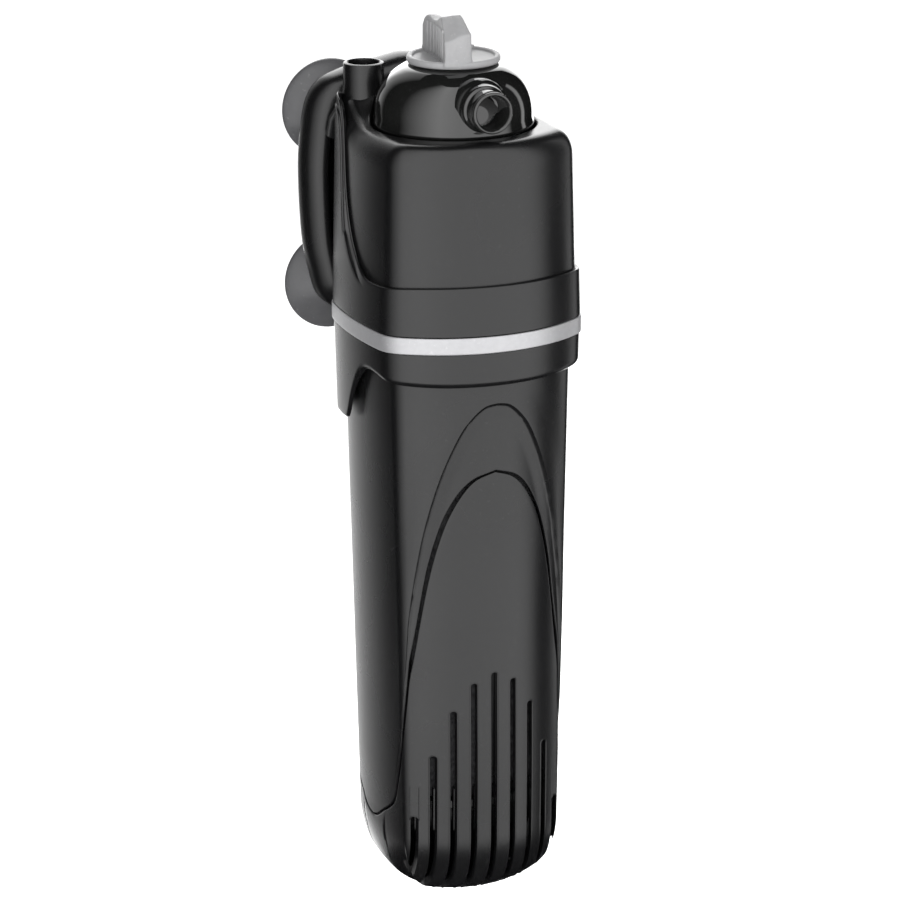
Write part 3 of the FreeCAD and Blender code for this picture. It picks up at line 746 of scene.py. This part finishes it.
def surroundStretch(s):
    slope = (readCurve(cheekLine, abs(s) + 0.3) - readCurve(cheekLine, abs(s) - 0.3)) / 0.6
    return min(math.hypot(1, slope), 5.0)


def surroundPoint(s, z, depth, inner):
    # a narrow sunk lip follows the cheek's edge at the side
    below = (readCurve(cheekLine, abs(s)) - z) / surroundStretch(s)
    lip = 0.0 if inner else 0.42 * ease(abs(s), 45.0, 53.0) * (1 - ease(below, 2.7, 3.1))
    x, y = outline(s, headInset(z) + depth + lip)
    return x, y, z


def surroundRows(s, start, end):
    stretch = surroundStretch(s)
    room = min(1.0, (end - start) * 0.7 / (4.0 * stretch))
    near = [end - k * stretch * room for k in (4.0, 2.9, 2.65, 2.4, 2.15, 1.9, 1.2, 0.6)]
    return [start + (near[0] - start) * k / 22 for k in range(1, 22)] + near


bm = bmesh.new()
addGrid(bm, bandColumns(headRound, lambda s: head["ringHigh"] + 0.1, lambda s: readCurve(cheekLine, abs(s)),
                        surroundPoint, head["wall"] + 0.3, 0.3, 0.35, surroundRows))
rearSurround = smoothObject("rearSurround", bm)
dress(rearSurround, "blackSatin", "black_satin_plastic", "pump_head", "rear_surround")

# motor housing: a block with a rolled top edge, a round recess for the dome and a raised rear
housing = {"inset": 1.25, "wall": 2.2, "edge": 7.0, "low": 176.0, "lip": 0.7, "tubeX": -17.6, "tubeY": 21.2}


def housingTop(s):
    x, y = outline(s, 6.0)
    rear = 2.2 * ease(y, 2.0, 20.0)
    away = math.hypot(x - housing["tubeX"], y - housing["tubeY"])
    return head["top"] + rear + 4.6 * math.exp(-(away / 10.0) ** 2)


bm = bmesh.new()
columns = []
for s in headRound:
    top = housingTop(s)
    column = []
    bottom, edge = housing["low"], housing["edge"]
    straight = [bottom + (top - edge - bottom) * k / 24 for k in range(25)]
    for z in straight:
        column.append((*outline(s, housing["inset"] + headInset(z)), z))
    brow = housing["inset"] + headInset(top - edge)
    edgeX, edgeY = outline(s, brow + edge * 0.72)
    angle = math.atan2(edgeY, edgeX)
    room = max(math.hypot(edgeX, edgeY) - head["recess"] - housing["lip"], 0.2)
    for k in range(1, 9):
        turn = math.pi / 2 * k / 8
        px, py = outline(s, brow + edge * 0.72 * (1 - math.cos(turn)))
        reach = math.hypot(px, py)
        least = head["recess"] + housing["lip"] + 0.02 * (8 - k)
        if reach < least:
            px, py = px * least / reach, py * least / reach
        column.append((px, py, top - edge + edge * math.sin(turn)))
    lastX, lastY = column[-1][:2]
    reach = math.hypot(lastX, lastY)
    angle = math.atan2(lastY, lastX)

    def ringPoint(radius, z):
        return radius * math.cos(angle), radius * math.sin(angle), z

    for k in (1, 2, 3):
        column.append(ringPoint(reach + (head["recess"] + housing["lip"] - reach) * k / 4, top))
    for k in range(5):
        turn = math.pi / 2 * k / 4
        column.append(ringPoint(head["recess"] + housing["lip"] * (1 - math.sin(turn)),
                                top - housing["lip"] * (1 - math.cos(turn))))
    column += [ringPoint(head["recess"], z) for z in (216.0, 214.0, 212.4)]
    column += [ringPoint(r, head["deck"]) for r in (head["recess"] - 0.4, 20.5, head["boss"])]
    column += [ringPoint(head["boss"], 216.0), ringPoint(head["boss"], 218.2),
               ringPoint(18.5, head["bossTop"]),
               ringPoint(17.7, head["bossTop"]), ringPoint(head["bossBore"], 218.2),
               ringPoint(head["bossBore"], 212.0),
               ringPoint(head["bossBore"], head["shelf"])]
    innerX, innerY = outline(s, housing["inset"] + headInset(head["shelf"]) + housing["wall"])
    lastX, lastY = column[-1][:2]
    column.append(((innerX + lastX) / 2, (innerY + lastY) / 2, head["shelf"]))
    for z in [head["shelf"] + (bottom - head["shelf"]) * k / 8 for k in range(9)]:
        column.append((*outline(s, housing["inset"] + headInset(z) + housing["wall"]), z))
    columns.append(column)
addGrid(bm, columns)
motorHousing = smoothObject("motorHousing", bm, 50)
dress(motorHousing, "blackSatin", "black_satin_plastic", "pump_head", "motor_housing")

# cable tube, flowing out of the housing's rear corner
tube = {"outer": 5.6, "bore": 4.3, "top": 234.0, "foot": 214.0, "flare": 4.8}
tubeProfile = [(tube["bore"], tube["foot"]), (tube["outer"] + tube["flare"], tube["foot"]),
    (tube["outer"] + tube["flare"] * 0.82, 218.5), (tube["outer"] + tube["flare"] * 0.45, 221.6),
    (tube["outer"] + tube["flare"] * 0.2, 223.6), (tube["outer"] + 0.45, 225.2),
    (tube["outer"] + 0.12, 227.2), (tube["outer"], 229.0), (tube["outer"], 233.3),
    (tube["outer"] - 0.15, 233.8), (tube["outer"] - 0.55, tube["top"]), (tube["bore"] + 0.35, tube["top"]),
    (tube["bore"] + 0.05, 233.7), (tube["bore"], 233.2), (tube["bore"], 224.0)]
bm = bmesh.new()
addTurned(bm, tubeProfile, (housing["tubeX"], housing["tubeY"], 0), (0, 0, 1), 72)
cableTube = smoothObject("cableTube", bm)
dress(cableTube, "blackSatin", "black_satin_plastic", "pump_head")

# silver ring and the skirt under it
bm = bmesh.new()
addGrid(bm, bandColumns(headRound, lambda s: head["ringLow"], lambda s: head["ringHigh"],
                        lambda s, z, depth, inner: (*outline(s, depth - 0.25), z), 1.9, 0.35, 0.35, count=6))
trimRing = smoothObject("trimRing", bm)
dress(trimRing, "silverTrim", "silver_trim", "pump_head", "trim_ring")

skirt = {"wall": 1.9, "tabWall": 0.95, "roll": 2.0}
skirtLine = splinePoints([(0, 154.2), (18, 154.3), (32, 155.0), (40, 156.1), (45, 156.0), (49, 154.0),
    (52.4, 150.6), (55.4, 146.6), (57.6, 142.8), (59.2, 140.0), (61.0, 138.4), (64.0, 137.9), (70, 137.8),
    (105, 137.8)])


def skirtPoint(s, z, depth, inner):
    x, y = outline(s, 0.3 + 0.6 * (163.8 - z) / 26.0 + depth)
    return x, y, z


def skirtWall(s):
    return skirt["wall"] + (skirt["tabWall"] - skirt["wall"]) * ease(abs(s), 46.0, 56.0)


bm = bmesh.new()
addGrid(bm, bandColumns(headRound, lambda s: readCurve(skirtLine, abs(s)), lambda s: head["ringLow"] - 0.12,
                        skirtPoint, skirtWall, skirt["roll"], 0.2, count=24))
skirtCollar = smoothObject("skirtCollar", bm)
dress(skirtCollar, "blackSatin", "black_satin_plastic", "pump_head", "skirt_collar")
print("pump head made")

# ---- outlet dome and nozzle

dome = {"outside": [(20.6, 212.6), (20.6, 218.9), (20.9, 219.3), (21.5, 219.45), (21.72, 219.8),
    (21.72, 220.7), (21.5, 221.3), (21.38, 222.2), (21.4, 223.6), (21.2, 225.4), (20.8, 227.2),
    (20.2, 228.9), (19.4, 230.5), (18.4, 232.0), (17.2, 233.3), (15.8, 234.4), (14.4, 235.3),
    (13.2, 235.95), (12.4, 236.2), (11.6, 236.25), (3.4, 236.25), (3.0, 236.0), (3.0, 234.6), (3.3, 234.4)],
    "inside": [(13.4, 234.4), (15.2, 233.1), (16.8, 231.3), (18.2, 228.8), (19.1, 226.2), (19.6, 223.6),
    (19.6, 212.6)]}
bm = bmesh.new()
addTurned(bm, dome["outside"] + dome["inside"], (0, 0, 0), (0, 0, 1), 128)
outletDome = smoothObject("outletDome", bm, 45)
dress(outletDome, "smokedGloss", "smoked_gloss_plastic", "outlet_dome", "outlet_dome")

nozzle = {"height": 227.7, "profile": [(3.6, 16.1), (3.6, 20.0), (4.25, 20.2), (4.5, 20.5), (4.5, 26.6),
    (4.7, 27.1), (5.0, 27.4), (5.35, 27.4), (5.62, 27.15), (5.66, 26.7), (5.5, 26.3), (5.5, 22.6),
    (5.7, 22.25), (6.1, 22.1), (6.35, 21.8), (6.4, 20.8), (6.8, 19.8), (7.6, 18.9), (7.6, 16.1)]}
bm = bmesh.new()
addTurned(bm, nozzle["profile"], (0, 0, nozzle["height"]), (0, -1, 0), 96)
outletNozzle = smoothObject("outletNozzle", bm, 45)
dress(outletNozzle, "smokedGloss", "smoked_gloss_plastic", "outlet_dome", "outlet_nozzle")
print("dome and nozzle made")

# ---- flow knob

knob = {"ribs": 7, "ribPitch": 2.55, "ribRadius": 0.5, "ribHeight": 7.4, "ribFoot": 238.9, "ribProud": 0.02,
    "waist": 2.7, "end": 3.7, "reach": 11.4, "scoop": 1.8, "turn": -7.0, "aside": -1.9}
discProfile = [(0.0, 220.0), (2.5, 220.0), (2.9, 220.4), (2.9, 236.5), (3.1, 236.7), (11.9, 236.7),
    (12.4, 236.8), (12.65, 237.2), (12.65, 238.0), (12.5, 238.4), (12.2, 238.6), (11.7, 238.62),
    (11.3, 238.5), (11.05, 238.2), (10.95, 237.95), (10.7, 237.85), (0.0, 237.85)]
bm = bmesh.new()
addTurned(bm, discProfile, (0, 0, 0), (0, 0, 1), 96)
addTurned(bm, [(0.0, 237.9), (0.62, 237.9), (0.62, 238.75), (0.5, 238.95), (0.3, 239.05), (0.0, 239.08)],
          (8.6, 7.6, 0), (0, 0, 1), 20)


def gripHalf(y):
    return knob["waist"] + (knob["end"] - knob["waist"]) * (y / knob["reach"]) ** 2


gripCrest = splinePoints([(-12.6, 245.2), (-11.6, 246.0), (-10, 246.9), (-7.5, 248.6), (-5, 249.9),
    (-3.5, 249.8), (0, 248.2), (4, 247.6), (8, 248.2), (10.5, 246.5), (11.5, 243.6), (12.6, 242.6)])


def gripTop(x, y):
    # wavy from end to end, with a thumb scoop on one side of each end
    side = -1 if y < 0 else 1
    scoop = ease(abs(y), 2.0, 9.0) * ease(side * x, -1.5, 3.6)
    return readCurve(gripCrest, y) - knob["scoop"] * scoop


gripPlan = [(gripHalf(y), y) for y in (-knob["reach"] + 2 * knob["reach"] * k / 23 for k in range(24))]
endCap = [(knob["end"] * math.cos(t), knob["reach"] + 0.9 * math.sin(t)) for t in
          [math.pi * k / 14 for k in range(1, 14)]]
gripPlan += endCap + [(-x, -y) for x, y in gripPlan] + [(-x, -y) for x, y in endCap]
columns = []
for x, y in gripPlan:
    column = []
    for k in range(19):
        t = k / 18
        flare = 1.0 + 0.10 * (1 - ease(t, 0.0, 0.35))
        px, py = x * flare, y * (1.0 - 0.035 * t)
        high = gripTop(px, py) - 0.5
        column.append((px, py, 237.7 + (high - 237.7) * t))
    for k in range(1, 4):
        turn = math.pi / 2 * k / 3
        share = 1 - 0.16 * (1 - math.cos(turn))
        px, py = x * share, y * (0.965 - 0.035 * (1 - math.cos(turn)))
        column.append((px, py, gripTop(px, py) - 0.5 * (1 - math.sin(turn))))
    for share in (0.66, 0.44, 0.22, 0.06):
        px, py = x * share, y * (0.93 * (0.4 + 0.6 * share))
        column.append((px, py, gripTop(px, py)))
    columns.append(column)
gripTurn = math.radians(knob["turn"])
turned = [[(knob["aside"] + x * math.cos(gripTurn) - y * math.sin(gripTurn),
            x * math.sin(gripTurn) + y * math.cos(gripTurn), z)
           for x, y, z in column] for column in columns]
addGrid(bm, turned, ring=False)
knobPiece = smoothObject("regulatorKnob", bm, 50)
dress(knobPiece, "knobGrey", "light_grey_plastic", "flow_knob", "regulator_knob")

# ribs on both faces of the grip
ribTree, ribIn, ribIds = geometryTree("gripRibs", [
    ("Count", "Int", 7), ("Pitch", "Float", 0.0024), ("Waist", "Float", 0.0027), ("Spread", "Float", 8.0),
    ("Radius", "Float", 0.0005), ("Height", "Float", 0.008), ("Foot", "Vector", (0, 0, 0)),
    ("Turn", "Vector", (0, 0, 0)), ("Finish", "Material", None)])
ribLine = addNode(ribTree, "GeometryNodeMeshLine", {"Count": ribIn["Count"]})
ribY = mathNode(ribTree, "MULTIPLY", countFromMiddle(ribTree, ribIn["Count"]), ribIn["Pitch"])
ribBow = mathNode(ribTree, "MULTIPLY", mathNode(ribTree, "MULTIPLY", ribY, ribY), ribIn["Spread"])
ribX = mathNode(ribTree, "ADD", ribIn["Waist"], ribBow)
ribSet = addNode(ribTree, "GeometryNodeSetPosition",
                 {"Geometry": ribLine.outputs["Mesh"], "Position": joinXyz(ribTree, ribX, ribY)})
ribBar = addNode(ribTree, "GeometryNodeMeshUVSphere",
                 {"Segments": 12, "Rings": 10, "Radius": ribIn["Radius"]})
ribUpper = mathNode(ribTree, "GREATER_THAN", readPosition(ribTree)[2], 0.00001)
ribLift = joinXyz(ribTree, 0.0, 0.0, mathNode(ribTree, "MULTIPLY", ribUpper, ribIn["Height"]))
ribStretch = addNode(ribTree, "GeometryNodeSetPosition",
                     {"Geometry": ribBar.outputs["Mesh"], "Offset": ribLift})
ribSpread = addNode(ribTree, "GeometryNodeInstanceOnPoints",
                    {"Points": ribSet.outputs["Geometry"], "Instance": ribStretch.outputs["Geometry"]})
ribOther = addNode(ribTree, "GeometryNodeTransform",
                   {"Geometry": ribSpread.outputs["Instances"], "Rotation": (0, 0, math.pi)})
ribBoth = ribTree.nodes.new("GeometryNodeJoinGeometry")
for half in (ribSpread.outputs["Instances"], ribOther.outputs["Geometry"]):
    ribTree.links.new(half, ribBoth.inputs["Geometry"])
ribPlace = addNode(ribTree, "GeometryNodeTransform", {
    "Geometry": ribBoth.outputs["Geometry"], "Translation": ribIn["Foot"], "Rotation": ribIn["Turn"]})
closeTree(ribTree, ribPlace.outputs["Geometry"], ribIn["Finish"])
gripRibs = runTree("gripRibs", ribTree, ribIds, {
    "Count": knob["ribs"], "Pitch": knob["ribPitch"] * mm, "Waist": (knob["waist"] + knob["ribProud"]) * mm,
    "Spread": (knob["end"] - knob["waist"]) / knob["reach"] ** 2 / mm, "Radius": knob["ribRadius"] * mm,
    "Height": knob["ribHeight"] * mm,
    "Foot": tuple(toRow((knob["aside"], 0, knob["ribFoot"]))), "Turn": (0.0, 0.0, gripTurn),
    "Finish": materials["knobGrey"]})
for face in gripRibs.data.polygons:
    face.use_smooth = True
dress(gripRibs, "knobGrey", "light_grey_plastic", "flow_knob")
print("knob made")

# ---- holder and suction cups

holder = {"middleZ": 197.0, "halfWidth": 31.3, "halfHeight": 35.8}
holderHalf = [(0, 232.9), (7.7, 231.7), (19.5, 229.2), (25.6, 226.4), (29.3, 220.3), (31.1, 208),
    (31.3, 196.7), (30.5, 182.5), (28.8, 173.8), (26.8, 166.9), (23.4, 163.2), (20.4, 161.8), (14, 161.2),
    (0, 161.2)]
holderLine = splinePoints([(-7.7, 231.7)] + holderHalf, 10)[10:]
holderRound = holderLine + [(-x, z) for x, z in reversed(holderLine[1:-1])]
holderSection = [(1.6, 38.0), (0.9, 37.85), (0.35, 37.4), (0.05, 36.8), (0.0, 35.8), (0.05, 34.4),
    (0.25, 33.0), (0.7, 31.6), (1.5, 30.3), (2.6, 29.2), (3.9, 28.5), (5.0, 28.3), (5.7, 28.45),
    (6.2, 29.0), (6.4, 29.8), (6.5, 34.8), (6.8, 35.6), (7.4, 36.0)]


def holderPoint(x, z, inset, y):
    wide = 1 - inset / holder["halfWidth"]
    tall = 1 - inset / holder["halfHeight"]
    return x * wide, y, holder["middleZ"] + (z - holder["middleZ"]) * tall


bm = bmesh.new()
columns = []
for x, z in holderRound:
    column = [(x * k, 38.0, holder["middleZ"] + (z - holder["middleZ"]) * k) for k in (0.1, 0.35, 0.6, 0.82)]
    column += [holderPoint(x, z, d, y) for d, y in holderSection]
    column += [(x * k, 36.0, holder["middleZ"] + (z - holder["middleZ"]) * k) for k in (0.6, 0.35, 0.1)]
    columns.append(column)
addGrid(bm, columns, ring=False)
rail = {"half": 9.35, "low": 172.0, "high": 196.0}
for side in (-1, 1):
    wallX = sorted((side * rail["half"], side * (rail["half"] + 2.2)))
    lipX = sorted((side * 4.4, side * (rail["half"] + 2.2)))
    addBlock(bm, (wallX[0], 30.0, rail["low"]), (wallX[1], 36.4, rail["high"]))
    addBlock(bm, (lipX[0], 28.8, rail["low"]), (lipX[1], 30.4, rail["high"]))
addBlock(bm, (-11.0, 28.9, rail["low"]), (11.0, 36.3, 175.9))
holderPlate = smoothObject("holderPlate", bm)
dress(holderPlate, "blackSatin", "black_satin_plastic", "holder", "holder_plate")

cupSection = [(0.0, 33.4), (2.0, 33.4), (2.7, 33.6), (3.15, 34.1), (3.3, 34.6), (3.2, 35.4), (2.7, 35.8),
    (2.3, 36.0), (2.3, 37.8), (3.6, 38.02), (4.8, 38.1), (5.5, 38.4), (6.3, 39.0), (7.4, 39.75),
    (8.8, 40.75), (10.2, 41.8), (11.6, 42.95), (12.8, 44.1), (13.5, 44.9), (13.78, 45.4), (13.8, 45.8),
    (13.6, 46.0), (13.2, 45.95), (12.2, 45.3), (10.6, 44.4), (8.4, 43.7), (5.6, 43.2), (2.6, 42.95),
    (0.0, 42.9)]
for name, x, z in (("suction_cup_upper_left", -18.5, 216.6), ("suction_cup_upper_right", 18.5, 216.6),
                   ("suction_cup_lower_left", -18.5, 167.4), ("suction_cup_lower_right", 18.5, 167.4)):
    bm = bmesh.new()
    addTurned(bm, cupSection, (x, 0, z), (0, 1, 0), 80)
    parts = name.split("_")
    cup = smoothObject("cup" + parts[2].capitalize() + parts[3].capitalize(), bm, 50)
    dress(cup, "cupRubber", "cup_rubber", "holder", name)
print("holder and cups made")

# ---- foam cartridge

foam = {"low": 34.4, "high": 150.2, "inset": 4.0, "bore": 11.6}


def foamFinish():
    material = bpy.data.materials.new("foamBlock")
    material.use_nodes = True
    tree = material.node_tree
    shader = tree.nodes["Principled BSDF"].inputs
    place = tree.nodes.new("ShaderNodeTexCoord").outputs["Object"]
    cells = addNode(tree, "ShaderNodeTexVoronoi", {"Scale": 700.0, "Vector": place}).outputs["Distance"]
    wear = addNode(tree, "ShaderNodeGroup", node_tree=handling)
    link(tree, place, wear.inputs["Vector"])
    pores = mixNode(tree, cells, (0.012, 0.012, 0.013), (0.05, 0.05, 0.052))
    wiped = mathNode(tree, "MULTIPLY", wear.outputs["Wiped"], 0.3)
    link(tree, mixNode(tree, wiped, pores, (0.03, 0.03, 0.032)), shader["Base Color"])
    shader["Roughness"].default_value = 0.95
    bump = addNode(tree, "ShaderNodeBump", {"Distance": 0.0004, "Height": cells})
    link(tree, bump.outputs["Normal"], shader["Normal"])
    return material


materials["foamBlock"] = foamFinish()
bm = bmesh.new()
columns = []
for s in aroundBody(2.4, 2.4, 200.0):
    column = []
    for k in range(33):
        z = foam["low"] + (foam["high"] - foam["low"]) * k / 32
        edge = min(k, 32 - k)
        soft = 0.9 if edge == 0 else 0.25 if edge == 1 else 0.0
        ripple = 0.18 * math.sin(s * 1.7 + k * 2.1) * math.sin(s * 0.63 + k * 1.3)
        column.append((*outline(s, draftInset(z) + foam["inset"] + 0.25 + soft + ripple), z))
    angle = math.atan2(column[0][1], column[0][0])
    for k in range(33):
        z = foam["high"] + (foam["low"] - foam["high"]) * k / 32
        radius = foam["bore"] + 0.15 + (0.4 if k in (0, 32) else 0.0) + 0.1 * math.sin(angle * 9 + k * 1.9)
        column.append((radius * math.cos(angle), radius * math.sin(angle), z))
    columns.append(column)
addGrid(bm, columns)
foamPiece = smoothObject("foamCartridge", bm, 60)
dress(foamPiece, "foamBlock", "foam", "container", "foam_cartridge")
print("foam made")

# ---- carried-over CAD nodes

cadFinish = {
    "blackSatin": ["hanger_rail", "base_plate", "cable_gland", "foam_rest", "rotor_well", "riser_duct"],
    "whiteInner": ["impeller_cover", "pump_volute", "coil_bobbin", "impeller_wheel", "cartridge_core",
                   "flow_shutter"],
    "sealRubber": ["dome_seal", "lower_bush", "upper_bush", "knob_seal"],
    "statorIron": ["stator_core"], "copperWinding": ["stator_coil"], "ceramicShaft": ["impeller_shaft"],
    "ferrite": ["rotor_magnet"],
}
for finish, names in cadFinish.items():
    for name in names:
        node = nodes[name]
        node.data.materials.clear()
        node.data.materials.append(materials[finish])
print("CAD nodes finished")

# ---- stage

studio = {"floorDrop": 0.30, "floorSize": 14.0, "roomLevel": 0.0, "backdropLevel": 1.0, "floorGlow": 1.1}
floorLevel = cadLow.z - studio["floorDrop"]
floorMaterial = bpy.data.materials.new("paleFloor")
floorMaterial.use_nodes = True
floorTree = floorMaterial.node_tree
floorShader = floorTree.nodes["Principled BSDF"].inputs
floorPlace = floorTree.nodes.new("ShaderNodeTexCoord").outputs["Object"]
floorNoise = noiseNode(floorTree, floorPlace, 3.0, 2.0)
floorColour = mixNode(floorTree, floorNoise, (0.93, 0.93, 0.93), (0.95, 0.95, 0.95))
link(floorTree, floorColour, floorShader["Base Color"])
floorShader["Roughness"].default_value = 0.9
floorShader["Emission Color"].default_value = (1, 1, 1, 1)
floorShader["Emission Strength"].default_value = studio["floorGlow"]
bm = bmesh.new()
half = studio["floorSize"] / 2
floorCorners = ((-half, -half), (half, -half), (half, half), (-half, half))
bm.faces.new([bm.verts.new((x, y, floorLevel)) for x, y in floorCorners])
floorMesh = bpy.data.meshes.new("floor")
bm.to_mesh(floorMesh)
bm.free()
floorMesh.materials.append(floorMaterial)
floor = bpy.data.objects.new("floor", floorMesh)
bpy.context.scene.collection.objects.link(floor)
floor.visible_glossy = False

world = bpy.data.worlds.new("studioRoom")
bpy.context.scene.world = world
world.use_nodes = True
worldTree = world.node_tree
worldTree.nodes.clear()
white = (1, 1, 1, 1)
rayPath = worldTree.nodes.new("ShaderNodeLightPath")
room, backdrop = (addNode(worldTree, "ShaderNodeBackground", {"Color": white, "Strength": level}).outputs[0]
                  for level in (studio["roomLevel"], studio["backdropLevel"]))
worldMix = addNode(worldTree, "ShaderNodeMixShader",
                   {0: rayPath.outputs["Is Camera Ray"], 1: room, 2: backdrop})
addNode(worldTree, "ShaderNodeOutputWorld", {"Surface": worldMix.outputs[0]})

# curved light sheets round the object: elevations, and brightness by azimuth,
# counted from the front towards the object's left
middle = toRow((0, 0, 125))
sheets = {
    "frontTent": {"low": -35, "high": 80, "bright": [
        (-68, 0.0), (-60, 1.3), (-48, 1.9), (15, 1.9), (30, 2.1), (44, 2.3), (57, 1.9), (71, 1.35), (85, 0.8),
        (100, 0.2), (106, 0.0)]},
    "backTent": {"low": -35, "high": 60, "bright": [
        (146, 0.0), (156, 0.4), (172, 0.9), (184, 3.2), (215, 3.6), (228, 1.5)]},
    "edgeStrip": {"low": -35, "high": 40, "bright": [(-101, 0.2), (-98, 1.3), (-93, 1.3), (-90, 0.2)]},
}
glow = bpy.data.materials.new("tentGlow")
glow.use_nodes = True
glowTree = glow.node_tree
glowTree.nodes.clear()
glowLevel = addNode(glowTree, "ShaderNodeAttribute", attribute_name="glow").outputs["Fac"]
glowLight = addNode(glowTree, "ShaderNodeEmission", {"Strength": glowLevel}).outputs[0]
addNode(glowTree, "ShaderNodeOutputMaterial", {"Surface": glowLight})
for name, sheet in sheets.items():
    bm = bmesh.new()
    levels, grid = [], []
    acrossCount, upCount = 36, 16
    first, last = sheet["bright"][0][0], sheet["bright"][-1][0]
    for i in range(acrossCount + 1):
        azimuth = first + (last - first) * i / acrossCount
        grid.append([])
        for j in range(upCount + 1):
            rise = math.radians(sheet["low"] + (sheet["high"] - sheet["low"]) * j / upCount)
            turn = math.radians(azimuth)
            grid[-1].append(bm.verts.new(middle + Vector((
                -math.sin(turn) * math.cos(rise), -math.cos(turn) * math.cos(rise), math.sin(rise)))))
            levels.append(readCurve(sheet["bright"], azimuth))
    for i in range(acrossCount):
        for j in range(upCount):
            bm.faces.new((grid[i][j], grid[i + 1][j], grid[i + 1][j + 1], grid[i][j + 1]))
    mesh = bpy.data.meshes.new(name)
    bm.to_mesh(mesh)
    bm.free()
    mesh.attributes.new("glow", "FLOAT", "POINT").data.foreach_set("value", levels)
    mesh.materials.append(glow)
    sheetPiece = bpy.data.objects.new(name, mesh)
    bpy.context.scene.collection.objects.link(sheetPiece)
    sheetPiece.visible_camera = False
    sheetPiece.visible_shadow = False

# ---- camera

view = {"turn": 22.64, "rise": 16.883, "roll": -0.248, "distance": 1.2, "lens": 174.02, "shiftX": -0.00572,
    "shiftY": 0.0101}
turn, rise, roll = (math.radians(view[k]) for k in ("turn", "rise", "roll"))
level = Vector((math.cos(turn), -math.sin(turn), 0))
upright = Vector((math.sin(turn) * math.sin(rise), math.cos(turn) * math.sin(rise), math.cos(rise)))
backwards = Vector((-math.sin(turn) * math.cos(rise), -math.cos(turn) * math.cos(rise), math.sin(rise)))
right = level * math.cos(roll) + upright * math.sin(roll)
up = upright * math.cos(roll) - level * math.sin(roll)
cameraData = bpy.data.cameras.new("camera")
cameraData.lens = view["lens"]
cameraData.sensor_width = 36.0
cameraData.shift_x, cameraData.shift_y = view["shiftX"], view["shiftY"]
cameraData.clip_start, cameraData.clip_end = 0.01, 60.0
camera = bpy.data.objects.new("camera", cameraData)
bpy.context.scene.collection.objects.link(camera)
camera.matrix_world = Matrix((
    (right.x, up.x, backwards.x, middle.x + backwards.x * view["distance"]),
    (right.y, up.y, backwards.y, middle.y + backwards.y * view["distance"]),
    (right.z, up.z, backwards.z, middle.z + backwards.z * view["distance"]),
    (0, 0, 0, 1)))
bpy.context.scene.camera = camera
bpy.context.scene.view_settings.view_transform = "Standard"
bpy.context.scene.view_settings.look = "None"
print("stage set")
